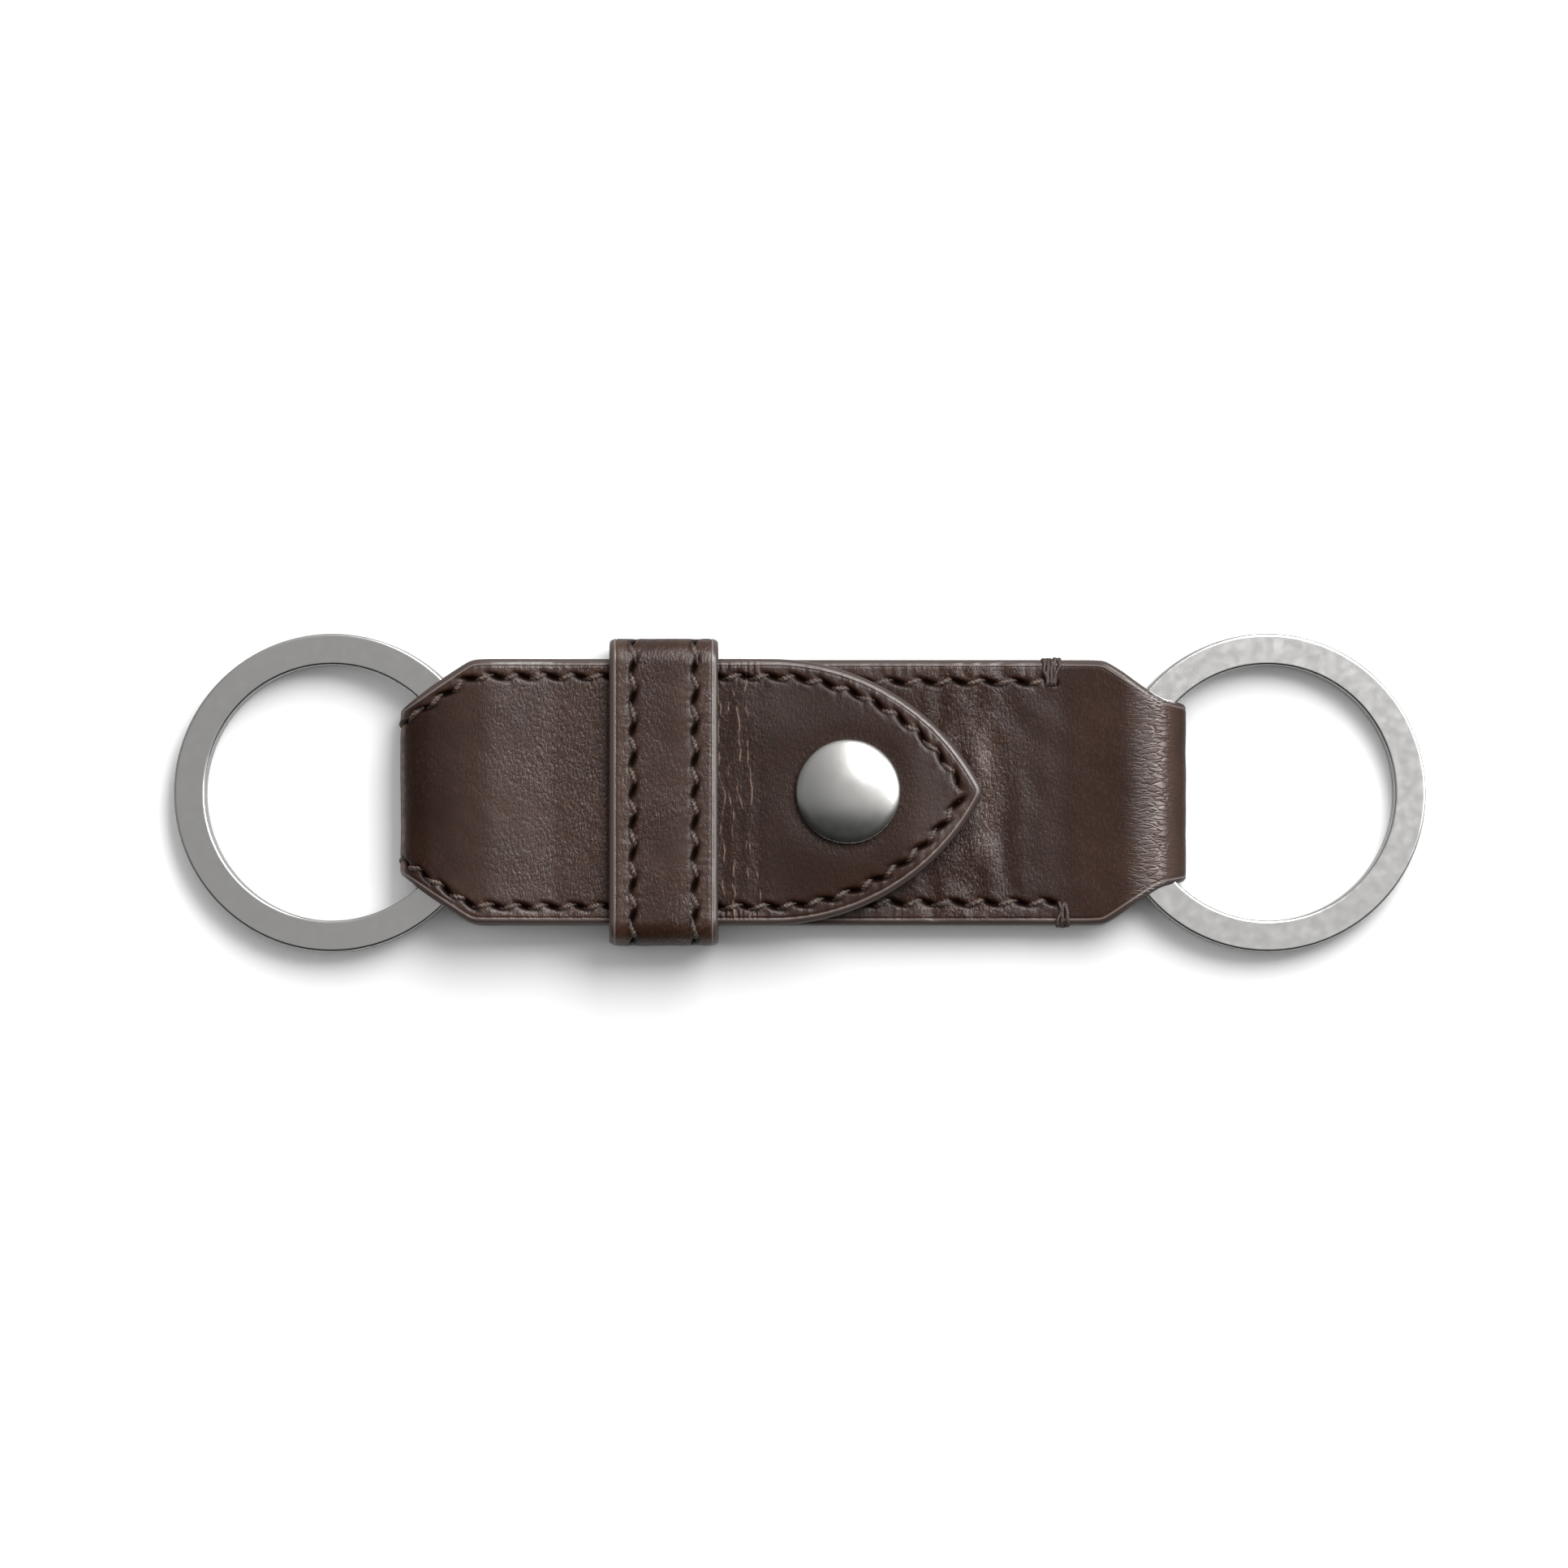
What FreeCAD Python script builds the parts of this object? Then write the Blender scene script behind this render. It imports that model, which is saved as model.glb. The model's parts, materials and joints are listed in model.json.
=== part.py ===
import FreeCAD, Part
import math
import os
import re

import Sketcher
from FreeCAD import Placement, Rotation, Vector

# A valet key fob: a folded leather strap with a snapped flap, a sliding keeper and a split ring in
# each end loop. It lies flat. +X runs to the plain right-hand ring, +Y across the strap, +Z up, with
# the origin on the table under the middle of the strap. Millimetres.

SIZES = (
    # Strap: one long strip of hide, folded round both rings and lined where the flap covers it
    ("strap_wide", 25.0),
    ("leather", 1.1),
    ("lining", 0.6),
    ("flap_gap", 0.9),
    ("flex_place", 26.0),
    ("flex_play", 0.3),
    # Left loop: leather and a skived lining round the left ring, measured from the flex line
    ("loop_lining", 0.4),
    ("left_neck", 15.7),
    ("left_taper", 4.9),
    ("left_level", 3.0),
    ("left_fold_round", 0.8),
    ("left_loop_play", 1.5),
    # Right loop: leather alone round the right ring, measured from the flex line
    ("right_neck", 16.6),
    ("right_waist", 17.8),
    ("right_waist_along", 8.3),
    ("right_taper", 2.8),
    ("right_level", 3.0),
    ("right_fold_round", 0.6),
    ("right_fold_inside", 2.9),
    ("right_swell", 0.4),
    ("right_loop_play", 0.45),
    ("droop_round", 4.0),
    # Flap: a lined tongue with a pointed arch, hinging just past the keeper
    ("flap_hinge", 5.2),
    ("flap_reach", 17.1),
    ("arch_start", 2.7),
    ("tip_round", 1.6),
    # Keeper: a closed two-ply loop that slides over strap and flap
    ("keeper_wide", 10.2),
    ("keeper_place", 12.8),
    ("keeper_leather", 0.8),
    ("keeper_lining", 0.5),
    ("keeper_play", 0.2),
    ("keeper_side_play", 0.6),
    ("keeper_round", 1.0),
    # Split rings: flat bevelled wire wound twice, with one step where it changes level
    ("ring_outer", 30.0),
    ("ring_band", 2.95),
    ("ring_seat", 2.95),
    ("coil_thick", 1.15),
    ("coil_gap", 0.1),
    ("coil_bevel", 0.28),
    ("coil_end_gap", 0.6),
    ("ring_play", 0.25),
    # Snap: cap and socket on the flap, stud and post on the front ply, a ring spring between
    ("snap_place", 4.5),
    ("cap_wide", 10.0),
    ("cap_rise", 1.4),
    ("cap_rim", 0.45),
    ("cap_curl", 0.3),
    ("cap_post_wide", 2.0),
    ("post_clench", 0.1),
    ("post_clench_wide", 2.8),
    ("socket_wide", 7.8),
    ("socket_plate", 0.3),
    ("socket_body_wide", 6.6),
    ("socket_wall", 0.4),
    ("socket_lip", 0.2),
    ("socket_mouth", 4.6),
    ("socket_drop", 1.6),
    ("stud_flange_wide", 7.2),
    ("stud_flange", 0.3),
    ("stud_sink", 0.5),
    ("stud_neck_wide", 3.0),
    ("stud_head_wide", 3.9),
    ("stud_bevel", 0.15),
    ("stud_head_play", 0.15),
    ("stud_bore", 2.0),
    ("post_flange_wide", 6.8),
    ("post_flange", 0.3),
    ("spring_wire", 0.32),
    ("spring_play", 0.1),
    ("metal_play", 0.05),
    ("hide_play", 0.2),
    # Sewing: flat stitches that lie in a pressed channel
    ("thread_wide", 0.5),
    ("thread_deep", 0.28),
    ("thread_ease", 0.03),
    ("body_pitch", 2.9),
    ("body_inset", 2.1),
    ("body_row_short", 0.7),
    ("flap_pitch", 2.8),
    ("flap_inset", 1.7),
    ("keeper_pitch", 2.3),
    ("keeper_inset", 2.2),
    ("tack_long", 2.3),
    ("tack_wide", 0.45),
    ("tack_pitch", 0.6),
    # One overrun for every cut and clip
    ("overrun", 2.0),
)

# Angles and shares, which don't grow with the object
RAMP_ANGLE = 32
SPRING_ANGLE = 310
STITCH_SHARE = 0.66
TACK_STITCHES = 3

# Places and heights that follow from the sizes. A word here may use the sizes and the words above it.
RULES = {
    "half": "strap_wide / 2",
    "keeper_ply": "keeper_leather + keeper_lining",
    "back_low": "keeper_ply + keeper_play",
    "back_top": "back_low + leather",
    "lining_top": "back_top + lining",
    "front_top": "lining_top + leather",
    "flap_low": "front_top + flap_gap",
    "flap_middle": "flap_low + lining",
    "flap_top": "flap_middle + leather",
    "keeper_top": "flap_top + keeper_play",
    # Flex lines: a rounded knuckle on the moving side, a flat face on the other
    "left_knuckle": "(flap_top - back_low) / 2",
    "left_axis": "(flap_top + back_low) / 2",
    "left_end": "-flex_place + left_knuckle + flex_play",
    "right_knuckle": "(front_top - back_low) / 2",
    "right_axis": "(front_top + back_low) / 2",
    "right_end": "flex_place - right_knuckle - flex_play",
    "flap_knuckle": "(leather + lining) / 2",
    "flap_axis": "flap_low + flap_knuckle",
    "flap_end": "-flap_hinge - flap_knuckle - flex_play",
    # Rings
    "ring_inner": "ring_outer / 2 - ring_band",
    "ring_middle": "ring_outer / 2 - ring_band / 2",
    "ring_place": "flex_place + ring_seat + ring_outer / 2",
    "coil_rise": "coil_thick + coil_gap",
    # Loops: each fold clears its ring where the band crosses the loop's edges
    "left_ply": "leather + loop_lining",
    "left_exit": "sqrt(ring_inner * ring_inner - left_neck * left_neck / 4)",
    "left_reach": "ring_place - left_exit + left_loop_play + left_ply",
    "left_lean": "(sqrt(left_level * left_level + back_low * back_low) - left_level) / back_low",
    "right_exit": "sqrt(ring_inner * ring_inner - right_neck * right_neck / 4)",
    "right_reach": "ring_place - right_exit + right_loop_play + leather",
    "body_row_end": "right_end - body_row_short",
    # Snap heights
    "cap_crown": "cap_rise - cap_rim",
    "stud_low": "front_top - stud_sink",
    "stud_shoulder": "stud_low + stud_flange",
    "socket_low": "flap_middle - socket_drop",
    "spring_low": "socket_low + socket_lip + metal_play",
    "head_low": "spring_low + spring_wire + metal_play",
    "head_top": "flap_middle - socket_plate - post_clench - stud_head_play",
    "post_low": "lining_top - post_flange",
}

WORD = re.compile(r"[a-z]+(?:_[a-z]+)*")
FUNCTIONS = ("sqrt", "asin")

doc = FreeCAD.newDocument("ValetKeyFob")
sheet = doc.addObject("Spreadsheet::Sheet", "Sizes")
for row, (alias, value) in enumerate(SIZES, start=1):
    sheet.set(f"A{row}", alias)
    sheet.set(f"B{row}", str(value))
    sheet.setAlias(f"B{row}", alias)
doc.recompute()


def rule(text):
    """The sheet expression for a formula in plain words."""
    def expand(match):
        word = match.group()
        if word in FUNCTIONS:
            return word
        return f"({rule(RULES[word])})" if word in RULES else f"Sizes.{word}"
    return WORD.sub(expand, text)


def size(text):
    """The value of a formula, in millimetres."""
    return float(sheet.evalExpression(rule(text)))


def bind(thing, **rules):
    """Tie properties to the sheet. A double underscore stands for a dot."""
    for name, text in rules.items():
        thing.setExpression(name.replace("__", "."), rule(text))


# Stands a drawing up, so that it shows the side view, X and Z
SIDE_VIEW = Rotation(Vector(1, 0, 0), 90)


def draw(sketch, corners, closed=True):
    """Straight runs between corners; a corner with a third entry is rounded to that radius."""
    spots = [Vector(size(x), size(y), 0) for x, y, *_ in corners]
    runs = list(zip(spots, spots[1:] + spots[:1] if closed else spots[1:]))
    first = sketch.GeometryCount
    last = first + len(runs) - 1
    for start, end in runs:
        sketch.addGeometry(Part.LineSegment(start, end), False)
    for run in range(first, last):
        sketch.addConstraint(Sketcher.Constraint("Coincident", run, 2, run + 1, 1))
    if closed:
        sketch.addConstraint(Sketcher.Constraint("Coincident", last, 2, first, 1))
    for number, (corner, spot) in enumerate(zip(corners, spots), start=first):
        line, end = (number, 1) if number <= last else (last, 2)
        for kind, value, text in (("DistanceX", spot.x, corner[0]), ("DistanceY", spot.y, corner[1])):
            tie = sketch.addConstraint(Sketcher.Constraint(kind, -1, 1, line, end, value))
            sketch.setExpression(f"Constraints[{tie}]", rule(text))
    for number, corner in enumerate(corners, start=first):
        if len(corner) > 2:
            arc = sketch.GeometryCount
            sketch.fillet(number, 1, size(corner[2]), True, True)
            tie = sketch.addConstraint(Sketcher.Constraint("Radius", arc, size(corner[2])))
            sketch.setExpression(f"Constraints[{tie}]", rule(corner[2]))
    return sketch


def drawing(name, corners, closed=True, turn=None):
    """A sketch of its own, flat or stood up."""
    sketch = doc.addObject("Sketcher::SketchObject", name)
    draw(sketch, corners, closed)
    sketch.Placement = Placement(Vector(), turn or Rotation())
    return sketch


def arch(name, root, inset="0"):
    """The flap seen from above: square at its root, a pointed arch with a rounded tip at its end."""
    side = f"(half - {inset})"
    reach = f"(flap_reach - {inset})"
    nose = f"(tip_round - {inset} / 2)"
    along = f"({reach} - {nose} + arch_start)"
    radius = f"(({along} * {along} + {side} * {side} - {nose} * {nose}) / (2 * ({side} - {nose})))"
    big, small = size(radius), size(nose)
    half, start, root_x = size(side), -size("arch_start"), size(root)
    middle = Vector(size(reach) - small, 0, 0)
    centres = Vector(start, half - big, 0), Vector(start, big - half, 0)
    upper = centres[0] + (middle - centres[0]).normalize() * big
    lower = Vector(upper.x, -upper.y, 0)
    lean = math.atan2(upper.y - centres[0].y, upper.x - centres[0].x)
    nose_lean = math.atan2(upper.y, upper.x - middle.x)

    def curve(centre, radius_now, start_angle, end_angle):
        return Part.ArcOfCircle(Part.Circle(centre, Vector(0, 0, 1), radius_now), start_angle, end_angle)

    sketch = doc.addObject("Sketcher::SketchObject", name)
    sketch.addGeometry(Part.LineSegment(Vector(root_x, half, 0), Vector(start, half, 0)), False)
    sketch.addGeometry(curve(centres[0], big, lean, math.pi / 2), False)
    sketch.addGeometry(curve(middle, small, -nose_lean, nose_lean), False)
    sketch.addGeometry(curve(centres[1], big, -math.pi / 2, -lean), False)
    sketch.addGeometry(Part.LineSegment(Vector(start, -half, 0), Vector(root_x, -half, 0)), False)
    sketch.addGeometry(Part.LineSegment(Vector(root_x, -half, 0), Vector(root_x, half, 0)), False)
    for tie in (
        ("Tangent", 0, 2, 1, 2), ("Tangent", 1, 1, 2, 2), ("Tangent", 2, 1, 3, 2),
        ("Tangent", 3, 1, 4, 1), ("Coincident", 4, 2, 5, 1), ("Coincident", 5, 2, 0, 1),
        ("Horizontal", 0), ("Horizontal", 4), ("Vertical", 5), ("PointOnObject", 2, 3, -1),
    ):
        sketch.addConstraint(Sketcher.Constraint(*tie))
    for kind, line, end, text in (
        ("DistanceX", 0, 1, root), ("DistanceY", 0, 1, side), ("DistanceX", 0, 2, "-arch_start"),
        ("DistanceY", 4, 1, f"-{side}"), ("DistanceX", 2, 3, f"{reach} - {nose}"),
    ):
        tie = sketch.addConstraint(Sketcher.Constraint(kind, -1, 1, line, end, size(text)))
        sketch.setExpression(f"Constraints[{tie}]", rule(text))
    tie = sketch.addConstraint(Sketcher.Constraint("Radius", 2, small))
    sketch.setExpression(f"Constraints[{tie}]", rule(nose))
    return sketch


def slab(name, outline, low, thick):
    """An outline given its thickness, from a height upwards."""
    solid = doc.addObject("Part::Extrusion", name)
    solid.Base = outline
    solid.DirMode = "Custom"
    solid.Dir = Vector(0, 0, 1)
    solid.Solid = True
    bind(solid, LengthFwd=thick, Placement__Base__z=low)
    return solid


def band(name, route, thick):
    """A ply laid half to each side of a route in the side view, across the width of the strap."""
    face = doc.addObject("Part::Offset2D", f"{name}Side")
    face.Source = route
    face.Fill = True
    bind(face, Value=f"{thick} / 2")
    solid = doc.addObject("Part::Extrusion", name)
    solid.Base = face
    solid.DirMode = "Custom"
    solid.Dir = Vector(0, 1, 0)
    solid.Solid = True
    solid.Symmetric = True
    bind(solid, LengthFwd="strap_wide")
    return solid


def drum(name, x, z, radius, long, turn=None, y="0"):
    """A plain cylinder, upright unless turned."""
    solid = doc.addObject("Part::Cylinder", name)
    solid.Placement = Placement(Vector(), turn or Rotation())
    bind(solid, Radius=radius, Height=long)
    bind(solid, Placement__Base__x=x, Placement__Base__y=y, Placement__Base__z=z)
    return solid


def knuckle(name, x, z, radius):
    """A cylinder along a flex line, as wide as the strap."""
    return drum(name, x, z, radius, "strap_wide", Rotation(Vector(1, 0, 0), -90), "-half")


def block(name, x, y, z, long, wide, tall):
    solid = doc.addObject("Part::Box", name)
    bind(solid, Length=long, Width=wide, Height=tall)
    bind(solid, Placement__Base__x=x, Placement__Base__y=y, Placement__Base__z=z)
    return solid


def joined(name, *pieces):
    solid = doc.addObject("Part::MultiFuse", name)
    solid.Shapes = list(pieces)
    return solid


def common(name, *pieces):
    solid = doc.addObject("Part::MultiCommon", name)
    solid.Shapes = list(pieces)
    return solid


def cut(name, base, *tools):
    solid = doc.addObject("Part::Cut", name)
    solid.Base = base
    solid.Tool = tools[0] if len(tools) == 1 else joined(f"{name}Cuts", *tools)
    return solid


def body_sketch(made, role, name):
    """A sketch on one of a body's own origin planes."""
    plane = [feature for feature in made.Origin.OriginFeatures if feature.Role == role][0]
    sketch = made.newObject("Sketcher::SketchObject", name)
    sketch.AttachmentSupport = (plane, [""])
    sketch.MapMode = "FlatFace"
    return sketch


def turned(name, profile):
    """A turned metal part: half its section, revolved about the upright axis of the snap."""
    made = doc.addObject("PartDesign::Body", name)
    sketch = draw(body_sketch(made, "XZ_Plane", f"{name}Section"), profile)
    turn = made.newObject("PartDesign::Revolution", f"{name}Turn")
    turn.Profile = sketch
    turn.ReferenceAxis = (sketch, ["V_Axis"])
    turn.Angle = 360
    bind(made, Placement__Base__x="snap_place")
    return made


nodes = {}


def keep(label, thing):
    """Name a finished piece."""
    thing.Label = label
    nodes[label] = thing
    return thing


# Plan outlines: the strap between its flex lines, its two loops, and the flap either side of its hinge
strap_plan = drawing("StrapPlan", (
    ("left_end", "-half"), ("right_end", "-half"), ("right_end", "half"), ("left_end", "half"),
))
left_plan = drawing("LeftPlan", (
    ("-flex_place", "-half"), ("-flex_place", "half"), ("-flex_place - left_taper", "half"),
    ("-left_reach", "left_neck / 2"), ("-left_reach", "-left_neck / 2"),
    ("-flex_place - left_taper", "-half"),
))
right_plan = drawing("RightPlan", (
    ("flex_place", "half"), ("flex_place", "-half"), ("flex_place + right_taper", "-half"),
    ("flex_place + right_waist_along", "-right_waist / 2"), ("right_reach", "-right_neck / 2"),
    ("right_reach", "right_neck / 2"), ("flex_place + right_waist_along", "right_waist / 2"),
    ("flex_place + right_taper", "half"),
))
flap_root_plan = drawing("FlapRootPlan", (
    ("left_end", "-half"), ("flap_end", "-half"), ("flap_end", "half"), ("left_end", "half"),
))

# What turns about each flex line: its plan, and a rounded knuckle on the line itself
CLIP_LOW, CLIP_TALL = "-overrun", "flap_top + 2 * overrun"
left_zone = joined(
    "LeftZone", slab("LeftClip", left_plan, CLIP_LOW, CLIP_TALL),
    knuckle("LeftKnuckle", "-flex_place", "left_axis", "left_knuckle"),
)
right_zone = joined(
    "RightZone", slab("RightClip", right_plan, CLIP_LOW, CLIP_TALL),
    knuckle("RightKnuckle", "flex_place", "right_axis", "right_knuckle"),
)
flap_zone = joined(
    "FlapZone", slab("FlapClip", arch("FlapPlan", "-flap_hinge"), CLIP_LOW, CLIP_TALL),
    knuckle("FlapKnuckle", "-flap_hinge", "flap_axis", "flap_knuckle"),
)

# Strap plies, with pressed channels for the sewing and room for the lower half of the snap
BODY_ROW = "half - body_inset"


def channels(name, low):
    """The two straight channels along the strap, from end to end of the sewing."""
    return [
        block(f"{name}{number}", "left_end - overrun", f"{side} * ({BODY_ROW}) - thread_wide / 2", low,
              "body_row_end - left_end + overrun", "thread_wide", "thread_deep")
        for number, side in enumerate((-1, 1), start=1)
    ]


def hole(name, wide, low="-overrun", play="hide_play"):
    """A round hole through the leather at the snap, from a height upwards."""
    return drum(name, "snap_place", low, f"{wide} / 2 + {play}", CLIP_TALL)


keep("back_leather", cut(
    "BackLeather", slab("BackPly", strap_plan, "back_low", "leather"), *channels("BackChannel", "back_low"),
))
keep("back_lining", cut(
    "BackLining", slab("BackLiningPly", strap_plan, "back_top", "lining"),
    hole("PostRoom", "post_flange_wide"),
))
keep("front_leather", cut(
    "FrontLeather", slab("FrontPly", strap_plan, "lining_top", "leather"),
    *channels("FrontChannel", "front_top - thread_deep"),
    hole("PostHole", "stud_bore", play="metal_play"),
    hole("StudSeat", "stud_flange_wide", "stud_low"),
))

# Loops: each ply's middle line runs from the underside of the strap, round the fold, to its top
def left_route(name, deep):
    """The middle of a ply of the left loop, a depth inside the outer face of the hide."""
    bend = f"(left_fold_round + left_ply - {deep})"
    droop = f"(-flex_place - {deep} * left_lean)"
    return drawing(name, (
        ("left_end + overrun", f"back_low + {deep}"),
        (droop, f"back_low + {deep}", f"droop_round + {deep}"),
        (f"{droop} - left_level", deep, f"droop_round - {deep}"),
        (f"{deep} - left_reach", deep, bend),
        (f"{deep} - left_reach", f"flap_top - {deep}", bend),
        ("left_end + overrun", f"flap_top - {deep}"),
    ), closed=False, turn=SIDE_VIEW)


RIGHT_BEND = "right_fold_round + leather / 2"
right_route = drawing("RightRoute", (
    ("right_end - overrun", "back_low + leather / 2"),
    ("flex_place", "back_low + leather / 2", "droop_round"),
    ("flex_place + right_level", "leather / 2", "droop_round"),
    ("right_reach - leather / 2", "leather / 2", RIGHT_BEND),
    ("right_reach - leather / 2", "3 * leather / 2 + right_fold_inside", RIGHT_BEND),
    ("flex_place + right_level", "3 * leather / 2 + right_fold_inside + right_swell", "droop_round"),
    ("flex_place", "front_top - leather / 2", "droop_round"),
    ("right_end - overrun", "front_top - leather / 2"),
), closed=False, turn=SIDE_VIEW)
left_hide = band("LeftHide", left_route("LeftHideRoute", "(leather / 2)"), "leather")
left_inside = band("LeftInside", left_route("LeftInsideRoute", "(leather + loop_lining / 2)"), "loop_lining")
keep("left_loop_leather", common("LeftLeather", left_hide, left_zone))
keep("left_loop_lining", common("LeftLining", left_inside, left_zone))
keep("right_loop_leather", common("RightLeather", band("RightHide", right_route, "leather"), right_zone))

# Flap: leather over lining, with one sewing channel that runs round the arch
channel_plan = {
    side: arch(f"Channel{side}", f"left_end - {runs} * overrun", f"(flap_inset {sign} thread_wide / 2)")
    for side, runs, sign in (("Outside", 1, "-"), ("Inside", 2, "+"))
}
flap_channel = cut(
    "FlapChannel", slab("ChannelOuter", channel_plan["Outside"], "flap_top - thread_deep", "overrun"),
    slab("ChannelInner", channel_plan["Inside"], CLIP_LOW, CLIP_TALL),
)


def flap_blank(name, low, thick):
    """A ply of the flap before its knuckle and arch are cut."""
    return block(name, "flap_end - overrun", "-half - overrun", low,
                 "flap_reach - flap_end + 2 * overrun", "strap_wide + 2 * overrun", thick)


keep("flap_leather", cut(
    "FlapRoot", slab("FlapRootPly", flap_root_plan, "flap_middle", "leather"), flap_channel,
))
keep("flap_lining", slab("FlapRootLining", flap_root_plan, "flap_low", "lining"))
keep("flap_tip_leather", cut(
    "FlapTip", common("FlapTipShape", flap_blank("FlapTipPly", "flap_middle", "leather"), flap_zone),
    flap_channel, hole("CapPostHole", "cap_post_wide", play="metal_play"),
))
keep("flap_tip_lining", cut(
    "FlapTipLining", common("FlapLiningShape", flap_blank("FlapLiningPly", "flap_low", "lining"), flap_zone),
    hole("SocketHole", "socket_wide"),
))


# Keeper: two closed loops, one inside the other
def keeper_loop(name, inside, thick):
    """A closed loop round the strap, a distance outside the keeper's opening."""
    made = doc.addObject("PartDesign::Body", name)
    sketch = body_sketch(made, "YZ_Plane", f"{name}Section")
    for out in (inside, f"{inside} + {thick}"):
        wide, low, high = (f"(half + keeper_side_play + {out})", f"(keeper_ply - ({out}))",
                           f"(keeper_top + {out})")
        bend = f"keeper_round + {out}"
        draw(sketch, (
            (f"-{wide}", low, bend), (wide, low, bend), (wide, high, bend), (f"-{wide}", high, bend),
        ))
    pad = made.newObject("PartDesign::Pad", f"{name}Pad")
    pad.Profile = sketch
    pad.Midplane = True
    bind(pad, Length="keeper_wide")
    bind(made, Placement__Base__x="-keeper_place")
    return made


KEEPER_ROW = "keeper_wide / 2 - keeper_inset"
KEEPER_SEAM = "(half + keeper_side_play - keeper_round)"
keeper_channels = [
    block(f"KeeperChannel{number}", f"{side} * ({KEEPER_ROW}) - keeper_place - thread_wide / 2",
          f"-{KEEPER_SEAM}", low, "thread_wide", f"2 * {KEEPER_SEAM}", "thread_deep")
    for number, (side, low) in enumerate((
        (-1, "keeper_top + keeper_ply - thread_deep"), (1, "keeper_top + keeper_ply - thread_deep"),
        (-1, "0"), (1, "0"),
    ), start=1)
]
keep("keeper_lining", keeper_loop("KeeperLining", "0", "keeper_lining"))
keep("keeper_leather", cut(
    "KeeperLeather", keeper_loop("KeeperOuter", "keeper_lining", "keeper_leather"), *keeper_channels,
))


# Snap: every piece is turned about the same upright axis
plate_low = "flap_middle - socket_plate"
dome_round = "((cap_wide * cap_wide / 4 + cap_crown * cap_crown) / (2 * cap_crown))"
cap_blank = turned("CapBlank", (
    ("0", f"{plate_low} - post_clench"), ("post_clench_wide / 2", f"{plate_low} - post_clench"),
    ("post_clench_wide / 2", plate_low), ("cap_post_wide / 2", plate_low), ("cap_post_wide / 2", "flap_top"),
    ("cap_wide / 2 - cap_curl", "flap_top"), ("cap_wide / 2", "flap_top + cap_curl"),
    ("cap_wide / 2", "flap_top + cap_rise"), ("0", "flap_top + cap_rise"),
))
dome = doc.addObject("Part::Sphere", "CapDome")
bind(dome, Radius=dome_round, Placement__Base__x="snap_place",
     Placement__Base__z=f"flap_top + cap_rise - {dome_round}")
keep("snap_cap", common("SnapCap", cap_blank, dome))
keep("snap_socket", turned("SnapSocket", (
    ("cap_post_wide / 2 + metal_play", plate_low), ("cap_post_wide / 2 + metal_play", "flap_middle"),
    ("socket_wide / 2", "flap_middle"), ("socket_wide / 2", plate_low), ("socket_body_wide / 2", plate_low),
    ("socket_body_wide / 2", "socket_low + socket_lip"), ("socket_body_wide / 2 - socket_lip", "socket_low"),
    ("socket_mouth / 2", "socket_low"),
    ("socket_mouth / 2", "socket_low + socket_lip"),
    ("socket_body_wide / 2 - socket_wall", "socket_low + socket_lip"),
    ("socket_body_wide / 2 - socket_wall", plate_low),
)))
keep("snap_stud", turned("SnapStud", (
    ("stud_bore / 2 + metal_play", "stud_low"), ("stud_flange_wide / 2", "stud_low"),
    ("stud_flange_wide / 2", "stud_shoulder"), ("stud_neck_wide / 2", "stud_shoulder"),
    ("stud_neck_wide / 2", "head_low"), ("stud_head_wide / 2", "head_low + stud_bevel"),
    ("stud_head_wide / 2", "head_top - stud_bevel"), ("stud_head_wide / 2 - stud_bevel", "head_top"),
    ("0", "head_top"), ("0", "head_low"),
    ("stud_bore / 2 + metal_play", "head_low"),
)))
keep("snap_post", turned("SnapPost", (
    ("0", "post_low"), ("post_flange_wide / 2", "post_low"), ("post_flange_wide / 2", "lining_top"),
    ("stud_bore / 2", "lining_top"), ("stud_bore / 2", "head_low - metal_play"),
    ("0", "head_low - metal_play"),
)))


def wound(name, section, angle, start=0):
    """Wire bent part of the way round an upright axis."""
    turn = doc.addObject("Part::Revolution", name)
    turn.Source = section
    turn.Axis = Vector(0, 0, 1)
    turn.Angle = angle
    turn.Solid = True
    turn.Placement = Placement(Vector(), Rotation(Vector(0, 0, 1), start))
    return turn


SPRING_IN, SPRING_OUT = "stud_neck_wide / 2 + spring_play", "stud_neck_wide / 2 + spring_play + spring_wire"
spring_section = drawing("SpringSection", (
    (SPRING_IN, "spring_low"), (SPRING_OUT, "spring_low"),
    (SPRING_OUT, "spring_low + spring_wire"), (SPRING_IN, "spring_low + spring_wire"),
), turn=SIDE_VIEW)
spring = wound("SnapSpring", spring_section, SPRING_ANGLE)
bind(spring, Placement__Base__x="snap_place")
keep("snap_spring", spring)


# Split rings: wire with its outer edges eased, wound once low, up one step, and once more on top
coil_section = drawing("CoilSection", (
    ("ring_inner", "0"), ("ring_outer / 2 - coil_bevel", "0"), ("ring_outer / 2", "coil_bevel"),
    ("ring_outer / 2", "coil_thick - coil_bevel"), ("ring_outer / 2 - coil_bevel", "coil_thick"),
    ("ring_inner", "coil_thick"),
), turn=SIDE_VIEW)


def coil(name, start, level):
    """One flat turn of the wire, from a start angle, as far as its free end or the step."""
    turn = wound(name, coil_section, 360 - RAMP_ANGLE - end_angle, start)
    bind(turn, Placement__Base__z=level)
    return turn


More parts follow.
